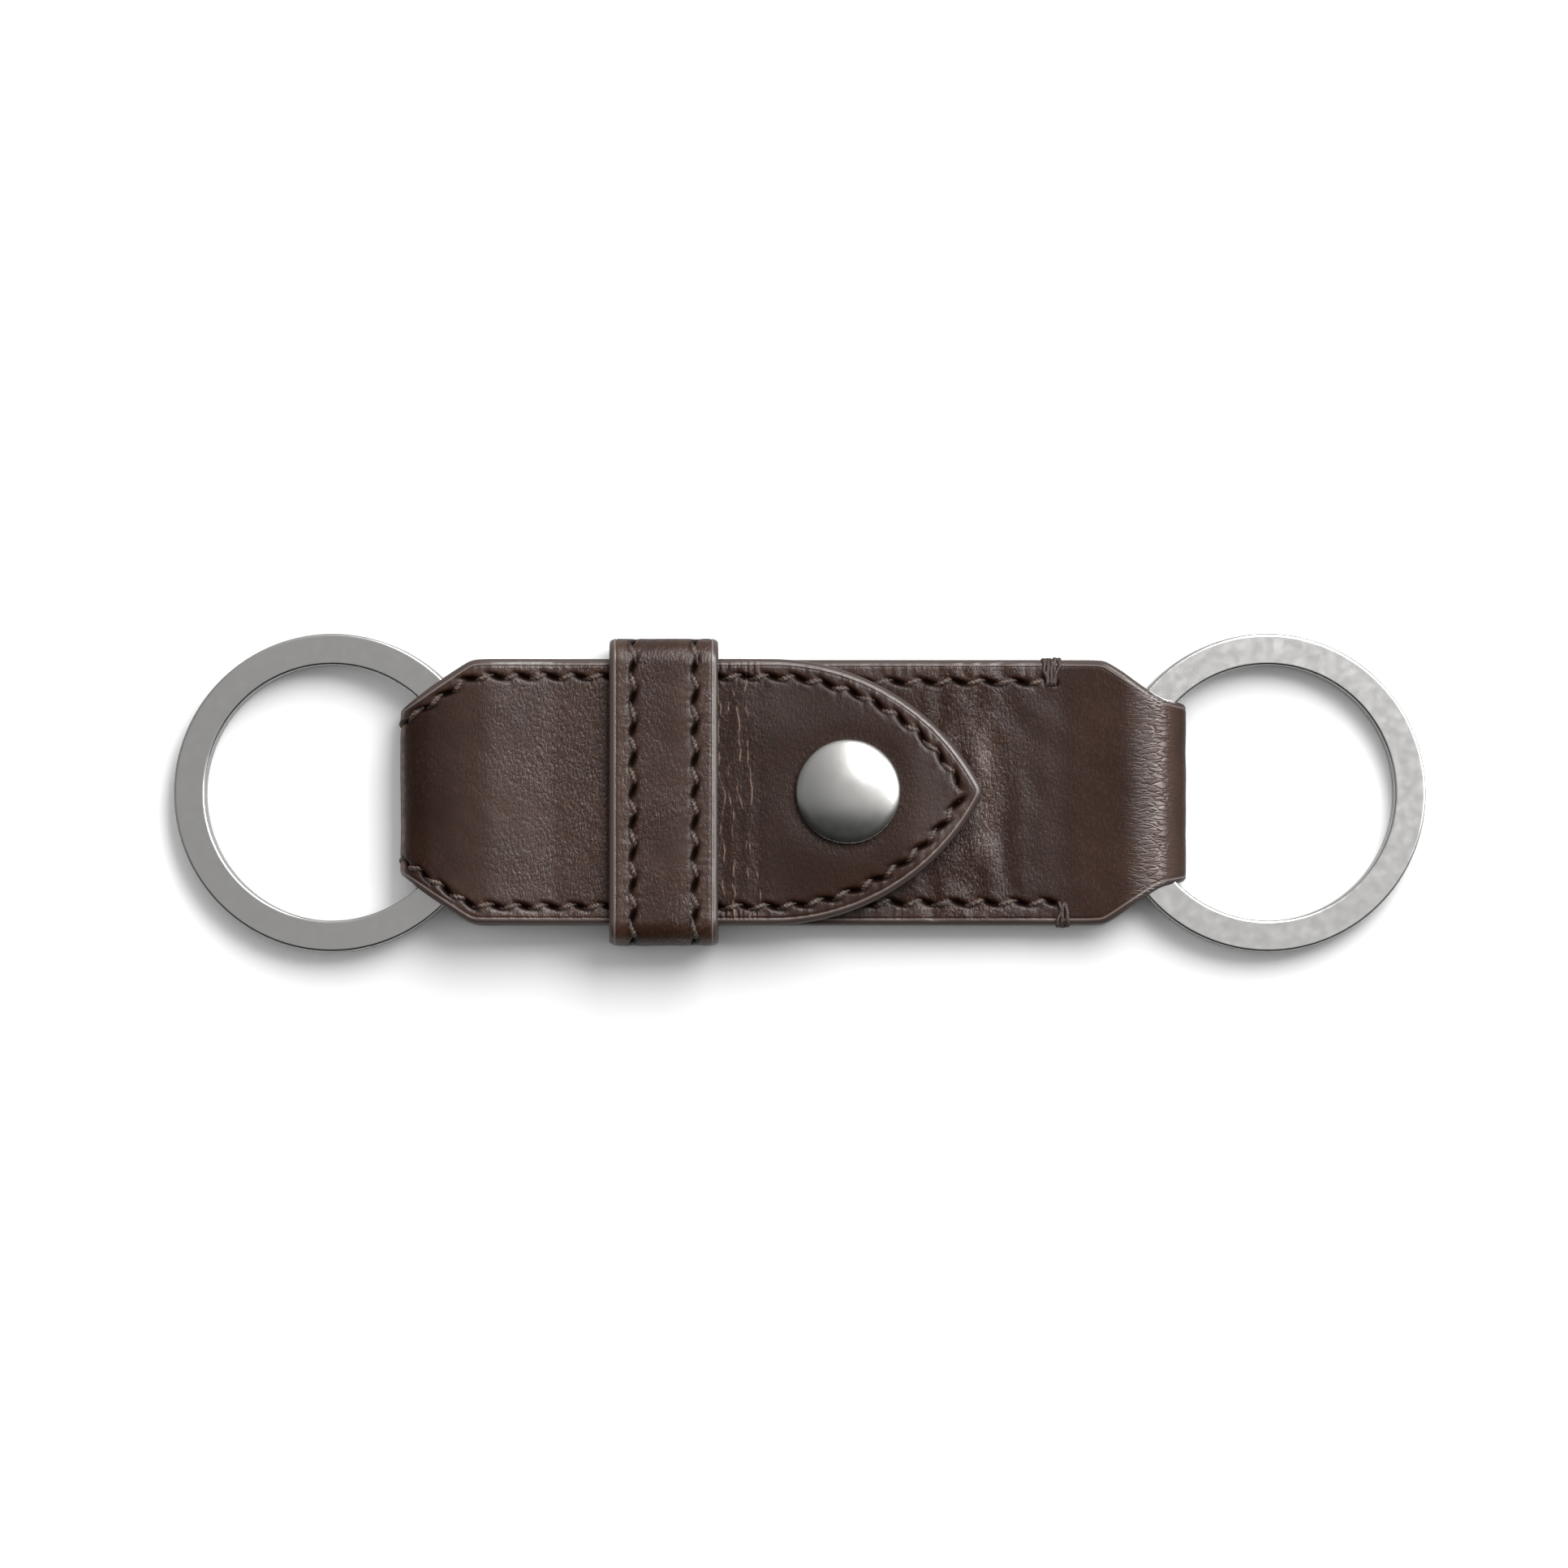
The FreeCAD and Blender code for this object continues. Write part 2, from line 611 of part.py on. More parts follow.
def split_ring(label, x, turn, tilt):
    """Both turns and the step between them, laid with its far rim on the table."""
    name = label.title().replace("_", "")
    spine = doc.addObject("Part::Helix", f"{name}Spine")
    bind(spine, Pitch=f"coil_rise * {360 / RAMP_ANGLE}", Height="coil_rise", Radius="ring_middle")
    step = doc.addObject("Part::Sweep", f"{name}Step")
    step.Sections = [coil_section]
    step.Spine = (spine, ["Edge1"])
    step.Solid = True
    step.Frenet = True
    step.Placement = Placement(Vector(), Rotation(Vector(0, 0, 1), -RAMP_ANGLE / 2))
    ring = joined(name, coil(f"{name}Low", RAMP_ANGLE / 2 + end_angle, "0"), step,
                  coil(f"{name}High", RAMP_ANGLE / 2, "coil_rise"))
    ring.Placement = Placement(Vector(), Rotation(Vector(0, 1, 0), tilt) * Rotation(Vector(0, 0, 1), turn))
    bind(ring, Placement__Base__x=x,
         Placement__Base__z=f"ring_outer / 2 * {math.sin(math.radians(abs(tilt)))}")
    return keep(label, ring)


def ring_tilt(ply, leaves):
    """The lean, in degrees, that lifts the ring clear of the ply under it where it leaves the loop."""
    return math.degrees(math.asin(size(f"({ply} + ring_play) / (ring_outer / 2 + {leaves})")))


end_angle = math.degrees(size("coil_end_gap") / size("ring_middle"))
split_ring("left_split_ring", "-ring_place", 0, -ring_tilt("left_ply", "left_exit"))
split_ring("right_split_ring", "ring_place", 180, ring_tilt("leather", "right_exit"))


# Sewing: rows of separate stitches that lie in the channels
def stitch(middle, angle, long, wide="thread_wide - 2 * thread_ease"):
    """One flat stitch about its middle, turned in plan."""
    broad, deep = size(wide), size("thread_deep - thread_ease")
    solid = Part.makeBox(long, broad, deep, Vector(-long / 2, -broad / 2, -deep / 2))
    solid.Placement = Placement(middle, Rotation(Vector(0, 0, 1), math.degrees(angle)))
    return solid


def row_places(start, end, pitch):
    """Evenly spaced middles of the stitches between two places."""
    count = max(1, round(abs(end - start) / pitch))
    return [start + (end - start) * (number + 0.5) / count for number in range(count)]


def sewing(label, stitches):
    """Rows of stitches as one piece."""
    thing = doc.addObject("Part::Feature", label.title().replace("_", ""))
    thing.Shape = Part.makeCompound(stitches)
    return keep(label, thing)


doc.recompute()
thread_middle = size("(thread_deep - thread_ease) / 2")
sides = (-1, 1)
body_long = STITCH_SHARE * size("body_pitch")
sewing("body_stitching", [
    stitch(Vector(x, side * size(BODY_ROW), height), 0, body_long)
    for side in sides
    for x in row_places(size("left_end"), size("body_row_end"), size("body_pitch"))
    for height in (size("front_top") - thread_middle, size("back_low") + thread_middle)
])
sewing("bar_tacks", [
    stitch(Vector(size("right_end - tack_wide / 2") - number * size("tack_pitch"), side * size(BODY_ROW),
                  size("front_top") + thread_middle), math.pi / 2, size("tack_long"), "tack_wide")
    for side in sides
    for number in range(TACK_STITCHES)
])

flap_seam = arch("FlapSeam", "left_end - overrun", "flap_inset")
doc.recompute()
flap_rows = {"flap_stitching": [], "flap_tip_stitching": []}
for edge in flap_seam.Shape.Edges:
    if edge.Length < size("flap_pitch"):
        continue
    for along in row_places(0, edge.Length, size("flap_pitch")):
        spot = edge.getParameterByLength(along)
        middle, heading = edge.valueAt(spot), edge.tangentAt(spot)
        reach = STITCH_SHARE * size("flap_pitch") / 2
        if size("left_end") + reach < middle.x < size("flap_end") - reach:
            row = flap_rows["flap_stitching"]
        elif middle.x > reach - size("flap_hinge"):
            row = flap_rows["flap_tip_stitching"]
        else:
            continue
        middle.z = size("flap_top") - thread_middle
        row.append(stitch(middle, math.atan2(heading.y, heading.x), 2 * reach))
for label, row in flap_rows.items():
    sewing(label, row)

sewing("keeper_stitching", [
    stitch(Vector(side * size(KEEPER_ROW) - size("keeper_place"), y, height), math.pi / 2,
           STITCH_SHARE * size("keeper_pitch"))
    for side in sides
    for y in row_places(-size(KEEPER_SEAM), size(KEEPER_SEAM), size("keeper_pitch"))
    for height in (size("keeper_top + keeper_ply") - thread_middle, thread_middle)
])

doc.recompute()
for thing in doc.Objects:
    if {"Invalid", "Error"} & set(thing.State):
        raise RuntimeError(f"{thing.Name} failed: {thing.State}")
for label, thing in nodes.items():
    if thing.Shape.isNull() or not thing.Shape.isValid():
        raise RuntimeError(f"{label} has no valid shape")

os.makedirs("parts", exist_ok=True)
for label, thing in nodes.items():
    thing.Shape.exportStep(f"parts/{label}.step")
print(len(nodes), "pieces written")
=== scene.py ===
import json
import logging
import math
from bisect import bisect_right
from collections.abc import Callable, Iterable, Sequence
from dataclasses import dataclass, field
from enum import Enum
from typing import NamedTuple

import bmesh
import bpy
from mathutils import Matrix, Vector, noise
from mathutils.kdtree import KDTree


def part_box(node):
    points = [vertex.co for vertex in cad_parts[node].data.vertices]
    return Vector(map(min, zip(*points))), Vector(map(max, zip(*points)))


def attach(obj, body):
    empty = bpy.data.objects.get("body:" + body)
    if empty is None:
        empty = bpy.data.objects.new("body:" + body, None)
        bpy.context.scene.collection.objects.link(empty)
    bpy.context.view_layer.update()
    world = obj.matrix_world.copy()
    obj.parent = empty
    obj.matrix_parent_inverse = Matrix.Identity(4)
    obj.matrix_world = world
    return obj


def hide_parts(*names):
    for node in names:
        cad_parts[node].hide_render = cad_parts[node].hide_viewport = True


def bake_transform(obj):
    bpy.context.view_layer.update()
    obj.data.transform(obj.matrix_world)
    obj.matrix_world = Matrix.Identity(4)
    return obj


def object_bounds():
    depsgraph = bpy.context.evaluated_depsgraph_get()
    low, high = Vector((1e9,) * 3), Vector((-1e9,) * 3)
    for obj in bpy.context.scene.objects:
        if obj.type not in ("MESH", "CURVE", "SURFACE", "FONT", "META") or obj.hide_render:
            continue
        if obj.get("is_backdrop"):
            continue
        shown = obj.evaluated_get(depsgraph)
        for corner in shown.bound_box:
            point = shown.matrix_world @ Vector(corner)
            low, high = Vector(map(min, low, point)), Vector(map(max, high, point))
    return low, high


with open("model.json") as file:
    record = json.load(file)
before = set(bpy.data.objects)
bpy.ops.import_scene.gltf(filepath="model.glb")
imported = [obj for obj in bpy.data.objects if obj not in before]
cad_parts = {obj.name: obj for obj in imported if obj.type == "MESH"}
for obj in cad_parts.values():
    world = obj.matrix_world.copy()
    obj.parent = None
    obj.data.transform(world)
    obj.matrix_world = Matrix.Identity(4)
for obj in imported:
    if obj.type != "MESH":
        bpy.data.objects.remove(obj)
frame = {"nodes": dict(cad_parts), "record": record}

log = logging.getLogger("valet_fob")

# Sizes of the object are in millimetres, as a leather worker gives them. Meshes are in metres.
MM = 0.001


class Finish(Enum):
    """The record's material slots."""

    HIDE = "hide"
    LINING = "lining"
    THREAD = "thread"
    CAP = "cap"
    SNAP = "snap"
    WIRE = "wire"
    RING = "ring"


class Touch(NamedTuple):
    """How the hide looks and feels at a point."""

    swell: float = 0.0
    grain: float = 0.3
    wax_and_painted_sheen: float = 1.0
    crease: float = 0.0
    drawn: float = 0.0


def ramp(value: float, start: float = 0.0, end: float = 1.0) -> float:
    """Rise smoothly from 0 at one place to 1 at another, held outside them."""
    share = min(1.0, max(0.0, (value - start) / (end - start)))
    return share * share * (3 - 2 * share)


def bump(value: float, width: float) -> float:
    """A bell of height 1 about zero."""
    return math.exp(-(value / width) ** 2)


def rough(x: float, y: float, size: float, seed: float = 0.0) -> float:
    """Smooth random values between -1 and 1, with features of a given size."""
    return noise.noise(Vector((x / size, y / size, seed)))


def soft_min(first: float, second: float, blend: float) -> float:
    """The smaller of two values, with the corner between them rounded."""
    return (first + second - math.hypot(first - second, blend)) / 2


def linear(colour: str) -> tuple[float, float, float, float]:
    """Turn an sRGB hex colour into the linear values that shaders take.

    Args:
        colour: Six hex digits, with or without the hash sign.

    Returns:
        Red, green and blue in linear light, and an alpha of 1.
    """
    digits = colour.lstrip("#")
    parts = [int(digits[start:start + 2], 16) / 255 for start in (0, 2, 4)]
    red, green, blue = (p / 12.92 if p <= 0.04045 else ((p + 0.055) / 1.055) ** 2.4 for p in parts)
    return red, green, blue, 1.0


def scale_of(millimetres: float) -> float:
    """The texture scale that gives features of this size, on coordinates in metres."""
    return 1 / (millimetres * MM)


# Node trees
def add(tree: bpy.types.NodeTree, kind: str, links: dict | None = None,
        **settings: object) -> bpy.types.Node:
    """Add a node with its settings and links.

    Args:
        tree: The material's or the world's node tree.
        kind: The node's type, without its ShaderNode prefix.
        links: For each input socket, by name or number, another node's output or a plain value.
        settings: The node's own properties.

    Returns:
        The new node.
    """
    made = tree.nodes.new(f"ShaderNode{kind}")
    for name, value in settings.items():
        setattr(made, name, value)
    for socket, value in (links or {}).items():
        if isinstance(value, bpy.types.NodeSocket):
            tree.links.new(value, made.inputs[socket])
        else:
            made.inputs[socket].default_value = value
    return made


@dataclass(frozen=True)
class Recipe:
    """Short names for the nodes that the finishes share."""

    tree: bpy.types.NodeTree

    def math(self, operation: str, *values: object) -> bpy.types.NodeSocket:
        """One sum on one to three values."""
        return add(self.tree, "Math", dict(enumerate(values)), operation=operation).outputs[0]

    def noise(self, place: bpy.types.NodeSocket, size_mm: float, detail: float = 3.0,
              rough: float = 0.55) -> bpy.types.NodeSocket:
        """Cloudy values about one half, with features of a given size."""
        return add(self.tree, "TexNoise", {
            "Vector": place, "Scale": scale_of(size_mm), "Detail": detail, "Roughness": rough,
        }).outputs["Fac"]

    def span(self, value: bpy.types.NodeSocket, low: float, high: float, to_low: float,
             to_high: float) -> bpy.types.NodeSocket:
        """Stretch one span of values over another, held at its ends."""
        return add(self.tree, "MapRange", {
            "Value": value, "From Min": low, "From Max": high, "To Min": to_low, "To Max": to_high,
        }).outputs[0]

    def mix(self, factor: object, first: object, second: object) -> bpy.types.NodeSocket:
        """Blend two colours."""
        return add(self.tree, "Mix", {0: factor, 6: first, 7: second}, data_type="RGBA").outputs[2]

    def mark(self, name: str) -> bpy.types.NodeSocket:
        """A value painted on the mesh."""
        return add(self.tree, "Attribute", attribute_name=name).outputs["Fac"]

    def stretch(self, place: bpy.types.NodeSocket, x: float, y: float, z: float) -> bpy.types.NodeSocket:
        """Scale a place along each axis."""
        return add(self.tree, "VectorMath", {0: place, 1: (x, y, z)}, operation="MULTIPLY").outputs[0]

    def bumped(self, height: bpy.types.NodeSocket, deep_mm: float,
               under: bpy.types.NodeSocket | None = None) -> bpy.types.NodeSocket:
        """A normal for a relief of a given depth, on top of another one if given."""
        links = {"Height": height, "Distance": deep_mm * MM, "Strength": 1.0}
        return add(self.tree, "Bump", links | ({"Normal": under} if under else {})).outputs[0]

    def surface(self, **values: object) -> None:
        """Finish the material with one principled surface."""
        named = {name.replace("_", " "): value for name, value in values.items()}
        shader = add(self.tree, "BsdfPrincipled", named)
        add(self.tree, "OutputMaterial", {"Surface": shader.outputs[0]})


def blank(name: str) -> tuple[bpy.types.Material, Recipe]:
    """A new material with an empty node tree."""
    material = bpy.data.materials.new(name)
    material.use_nodes = True
    material.node_tree.nodes.clear()
    return material, Recipe(material.node_tree)


@dataclass(frozen=True)
class Hide:
    """Full-grain cowhide, semi-aniline dyed and waxed: a dark even brown with a soft sheen.

    Marks on the mesh tell where it is worked. "rim" is the painted edge, with a paler line painted along its
    crest as its highlight, and "pit" a needle hole, painted near black as the shade inside it. "grain" is
    how much of the fine grain shows, with paler glints painted on it, "wax_and_painted_sheen" how much wax
    was rubbed in and where the tone is painted lighter as sheen and darker as shade, "crease" a pale
    pulled-up line with a highlight painted along it and
    "drawn" the fine wrinkles over a fold. "flat" is the place on the unrolled strip, so that the grain
    follows the folds.
    """

    name: str = "waxed_cowhide"
    deep: str = "#20120b"
    body: str = "#2e1a11"
    # Lightest tone, for rubbed leather and for painted sheen.
    rubbed_and_sheen: str = "#412a1f"
    # Paler flecks painted on the grain strokes as glints.
    painted_glint: str = "#6d574a"
    # Pale creases: pulled-up leather, with a highlight painted along their ridges.
    pale_crease_and_highlight: str = "#92796a"
    edge_paint: str = "#463b37"
    # A paler line painted along the edge's crest as its highlight.
    painted_edge_highlight: str = "#857a76"
    # Needle holes painted near black, as the shade inside them.
    hole: str = "#0b0605"
    mottle_mm: float = 9.0
    pebble_mm: float = 0.34
    fleck_mm: float = 0.22
    wrinkle_mm: float = 0.36
    grain_deep_mm: float = 0.12
    wrinkle_deep_mm: float = 0.04
    wander_mm: float = 1.6
    wander_by_mm: float = 0.6
    grain_slant: float = -16.0
    roughness: float = 0.36
    edge_roughness: float = 0.24
    ior: float = 1.4

    def build(self) -> bpy.types.Material:
        """Make the material."""
        material, make = blank(self.name)
        place = add(make.tree, "Attribute", attribute_name="flat").outputs["Vector"]
        wander = add(make.tree, "TexNoise", {
            "Vector": place, "Scale": scale_of(self.wander_mm), "Detail": 2.0,
        })
        shift = add(make.tree, "VectorMath", {
            0: wander.outputs["Color"], 1: (self.wander_by_mm * MM,) * 3, 2: place,
        }, operation="MULTIPLY_ADD").outputs[0]
        turn = (0, 0, math.radians(self.grain_slant))
        slant = add(make.tree, "Mapping", {"Vector": shift, "Rotation": turn})
        strokes = make.noise(make.stretch(slant.outputs[0], 1.0, 0.45, 1.0), self.fleck_mm, 3.0, 0.6)
        cells = add(make.tree, "TexVoronoi", {
            "Vector": make.stretch(slant.outputs[0], 1.0, 0.5, 1.0), "Scale": scale_of(self.pebble_mm),
        }, feature="DISTANCE_TO_EDGE").outputs["Distance"]
        lines = add(make.tree, "TexVoronoi", {
            "Vector": make.stretch(shift, 0.22, 1.0, 1.0), "Scale": scale_of(self.wrinkle_mm),
        }, feature="DISTANCE_TO_EDGE").outputs["Distance"]
        pebble = make.span(cells, 0.0, 0.22, 0.0, 1.0)
        mottle = make.noise(place, self.mottle_mm, 6.0, 0.6)
        rim, pit, grain, wax_and_painted_sheen = (make.mark(mark) for mark in ("rim", "pit", "grain", "wax_and_painted_sheen"))

        clouds = make.math("MULTIPLY_ADD", strokes, 0.35, make.math("MULTIPLY_ADD", mottle, 0.3, 0.175))
        # The sheen mark shifts the tone along the ramp: lighter where sheen is painted, darker where shade
        # is painted.
        tone = make.math("ADD", clouds, make.span(wax_and_painted_sheen, 0.0, 2.0, -0.22, 0.22))
        shade = add(make.tree, "ValToRGB", {"Fac": tone})
        shades = shade.color_ramp.elements
        shades.new(0.5)
        for element, spot, colour in zip(shades, (0.34, 0.5, 0.68), (self.deep, self.body, self.rubbed_and_sheen)):
            element.position, element.color = spot, linear(colour)
        # Glints painted on the grain strokes, more where the grain shows.
        glint_mask = make.math("MULTIPLY", make.span(strokes, 0.54, 0.74, 0.0, 0.45), grain)
        with_glints = make.mix(glint_mask, shade.outputs["Color"], linear(self.painted_glint))
        # Creases painted pale: partly pulled-up leather, partly a highlight painted along them.
        pale_crease_and_highlight = make.mix(make.math("MULTIPLY", make.mark("crease"), 0.7), with_glints, linear(self.pale_crease_and_highlight))
        plain = make.math("SUBTRACT", 1.0, rim)
        # A highlight painted as a paler line along the crest of the rounded edge.
        edge_highlight_mask = make.math("MULTIPLY", make.math("MULTIPLY", rim, plain), 2.6)
        painted = make.mix(edge_highlight_mask, make.mix(rim, pale_crease_and_highlight, linear(self.edge_paint)), linear(self.painted_edge_highlight))
        # Needle holes painted near black, as the shade inside them.
        pierced = make.mix(pit, painted, linear(self.hole))

        relief = make.math("MULTIPLY_ADD", pebble, 0.22, strokes)
        depth_here = make.math("MULTIPLY", make.math("MULTIPLY_ADD", grain, 0.9, 0.1), plain)
        wrinkles = make.math("MULTIPLY", make.span(lines, 0.0, 0.16, 0.0, 1.0), make.mark("drawn"))
        normal = make.bumped(make.math("MULTIPLY", relief, depth_here), self.grain_deep_mm,
                             make.bumped(wrinkles, self.wrinkle_deep_mm))
        shine = make.math("MULTIPLY", wax_and_painted_sheen, 0.5)
        matt = make.span(strokes, 0.35, 0.65, self.roughness + 0.05, self.roughness - 0.05)
        gloss = make.math("ADD", make.math("MULTIPLY", matt, plain),
                          make.math("MULTIPLY", rim, self.edge_roughness))
        make.surface(Base_Color=pierced, Roughness=gloss, IOR=self.ior, Specular_IOR_Level=shine,
                     Normal=normal)
        return material


@dataclass(frozen=True)
class Lining:
    """Thin split hide, dyed through and pressed smooth: duller and plainer than the grain side."""

    name: str = "smooth_split_lining"
    colour: str = "#3d2d27"
    worn: str = "#4b3a33"

    def build(self) -> bpy.types.Material:
        """Make the material."""
        material, make = blank(self.name)
        place = add(make.tree, "TexCoord").outputs["Object"]
        tone = make.mix(make.noise(place, 4.0, 4.0), linear(self.colour), linear(self.worn))
        normal = make.bumped(make.noise(place, 0.35), 0.04)
        make.surface(Base_Color=tone, Roughness=0.7, Normal=normal)
        return material


@dataclass(frozen=True)
class Thread:
    """Bonded nylon sewing thread, twisted and waxed: highlights painted on fibres along each ply's crest,
    and painted shade where the stitch sinks.
    """

    name: str = "bonded_nylon_thread"
    shadow: str = "#281811"
    lit: str = "#a1897b"

    def build(self) -> bpy.types.Material:
        """Make the material."""
        material, make = blank(self.name)
        place = add(make.tree, "TexCoord").outputs["Object"]
        fibre = make.noise(place, 0.1, 4.0)
        # Highlights painted on fibres along the ridge mark; elsewhere the thread takes its shaded colour.
        caught = make.math("MULTIPLY", make.span(fibre, 0.46, 0.66, 0.0, 1.0), make.mark("highlight_ridge"))
        tone = make.mix(caught, linear(self.shadow), linear(self.lit))
        make.surface(Base_Color=tone, Roughness=0.55, Normal=make.bumped(fibre, 0.05))
        return material


@dataclass(frozen=True)
class SatinMetal:
    """Plated metal, tumbled to an even satin that blurs what it mirrors, with faint rub marks."""

    name: str
    colour: str
    roughness: float
    rub_mm: float = 0.9
    spread: float = 0.04

    def build(self) -> bpy.types.Material:
        """Make the material."""
        material, make = blank(self.name)
        place = add(make.tree, "TexCoord").outputs["Object"]
        rub = make.noise(place, self.rub_mm, 3.0, 0.5)
        gloss = make.span(rub, 0.3, 0.7, self.roughness - self.spread, self.roughness + self.spread)
        make.surface(Base_Color=linear(self.colour), Metallic=1.0, Roughness=gloss)
        return material


# Paths and plans
@dataclass(frozen=True)
class Spot:
    """A point of a strip's outer face in its side view, with the outward normal there."""

    x: float
    z: float
    out_x: float
    out_z: float
    along: float


@dataclass(frozen=True)
class Path:
    """The outer face of a strip in its side view. Outwards is to the right of the way it runs."""

    spots: tuple[Spot, ...]

    @classmethod
    def bent(cls, corners: Sequence[tuple[float, ...]], step: Callable[[float, float], float]) -> "Path":
        """Join straight runs by arcs, and sample them.

        Args:
            corners: Each corner's two places and, but for the ends, its bend radius.
            step: The spacing wanted at a place.

        Returns:
            The path.
        """
        points = [Vector(corner[:2]) for corner in corners]
        dense = [points[0]]
        bends = [corner[2] for corner in corners[1:-1]]
        for before, corner, after, radius in zip(points, points[1:], points[2:], bends):
            arrive, leave = (corner - before).normalized(), (after - corner).normalized()
            turn = math.atan2(arrive.cross(leave), arrive.dot(leave))
            start = corner - arrive * radius * math.tan(abs(turn) / 2)
            centre = start + Vector((-arrive.y, arrive.x)) * math.copysign(radius, turn)
            count = max(4, round(abs(turn) / math.radians(4)))
            arm = start - centre
            dense += [centre + Matrix.Rotation(turn * n / count, 2) @ arm for n in range(count + 1)]
        dense.append(points[-1])
        found, total, left = [], 0.0, 0.0
        for start, end in zip(dense, dense[1:]):
            run = (end - start).length
            while left < run:
                spot = start.lerp(end, left / run)
                found.append((spot, total + left))
                left += step(spot.x, spot.y)
            left -= run
            total += run
        found.append((dense[-1], total))
        spots = []
        for number, (spot, along) in enumerate(found):
            way = (found[min(number + 1, len(found) - 1)][0] - found[max(number - 1, 0)][0]).normalized()
            spots.append(Spot(spot.x, spot.y, way.y, -way.x, along))
        return cls(tuple(spots))

    def at(self, along: float) -> Spot:
        """The spot a distance along the path."""
        places = [spot.along for spot in self.spots]
        number = min(max(bisect_right(places, along), 1), len(places) - 1)
        first, second = self.spots[number - 1], self.spots[number]
        share = (along - first.along) / max(second.along - first.along, 1e-9)
        pairs = zip(vars(first).values(), vars(second).values())
        return Spot(*(a + (b - a) * share for a, b in pairs))

    @property
    def length(self) -> float:
        """Its length along the outer face."""
        return self.spots[-1].along


@dataclass(frozen=True)
class StrapPlan:
    """The strap from above: even between its corners, narrowing to a neck at each fold."""

    half: float
    left_reach: float
    right_reach: float
    left_neck: float = 7.85
    left_corner: float = 30.9
    right_neck: float = 8.35
    right_corner: float = 28.6
    waist: float = 8.85
    waist_at: float = 34.0
    corner_round: float = 0.35

    def width(self, x: float) -> float:
        """Half the width at a place along the strap."""
        left = self.left_neck + (self.left_reach + x) * (self.half - self.left_neck) / (
            self.left_reach - self.left_corner)
        shoulder = self.waist + (self.waist_at - x) * (self.half - self.waist) / (
            self.waist_at - self.right_corner)
        neck = self.right_neck + (self.right_reach - x) * (self.waist - self.right_neck) / (
            self.right_reach - self.waist_at)
        right = -soft_min(-shoulder, -neck, self.corner_round)
        return soft_min(soft_min(self.half, left, self.corner_round), right, self.corner_round)

    def inset(self, x: float, across: float) -> float:
        """How far inside the outline a point lies."""
        lean = (self.width(x + 0.05) - self.width(x - 0.05)) / 0.1
        return (self.width(x) - abs(across)) / math.hypot(1.0, lean)

    def sewn(self, x: float, across: float) -> float:
        """The distance that the sewing keeps, here straight across the strap."""
        return self.width(x) - abs(across)


@dataclass(frozen=True)
class FlapPlan:
    """The flap from above: square, then a pointed arch with a rounded tip."""

    half: float
    reach: float
    start: float = -2.7
    tip_round: float = 1.6

    @property
    def big(self) -> float:
        """The radius of the arch's sides."""
        run = self.reach - self.tip_round - self.start
        return (run * run + self.half ** 2 - self.tip_round ** 2) / (2 * (self.half - self.tip_round))

    @property
    def tangent(self) -> float:
        """Where the sides meet the tip's round."""
        run = self.reach - self.tip_round - self.start
        return self.start + run * self.big / (self.big - self.tip_round)

    def width(self, x: float) -> float:
        """Half the width at a place along the flap."""
        if x <= self.start:
            return self.half
        if x <= self.tangent:
            return self.half - self.big + math.sqrt(self.big ** 2 - (x - self.start) ** 2)
        return math.sqrt(max(0.0, self.tip_round ** 2 - (x - self.reach + self.tip_round) ** 2))

    def inset(self, x: float, across: float) -> float:
        """How far inside the outline a point lies."""
        if x <= self.start:
            return self.half - abs(across)
        drop = self.big - self.half + abs(across)
        run, nose = x - self.start, x - self.reach + self.tip_round
        if nose > 0 and abs(across) < nose * drop / run:
            return self.tip_round - math.hypot(nose, across)
        return self.big - math.hypot(run, drop)

    def sewn(self, x: float, across: float) -> float:
        """The distance that the sewing keeps, here square to the outline."""
        return self.inset(x, across)

    def seam(self, inset: float, root: float) -> list[tuple[float, float]]:
        """The sewing line a distance inside the outline, from the root round the tip and back."""
        reach, radius = self.reach - inset, self.big - inset
        top = math.acos((self.big - self.half) / radius)
        turns = [top * n / 48 for n in range(48)]
        side = [(root, self.half - inset)]
        side += [(self.start + radius * math.sin(turn), self.half - self.big + radius * math.cos(turn))
                 for turn in turns]
        tip = [(min(reach, self.start + radius * math.sin(top)), 0.0)]
        return side + tip + [(x, -across) for x, across in reversed(side)]


@dataclass(frozen=True)
class BandPlan:
    """A band of even width."""

    half: float

    def width(self, _x: float) -> float:
        """Half the width anywhere."""
        return self.half

    def inset(self, _x: float, across: float) -> float:
        """How far inside the edges a point lies."""
        return self.half - abs(across)

    sewn = inset


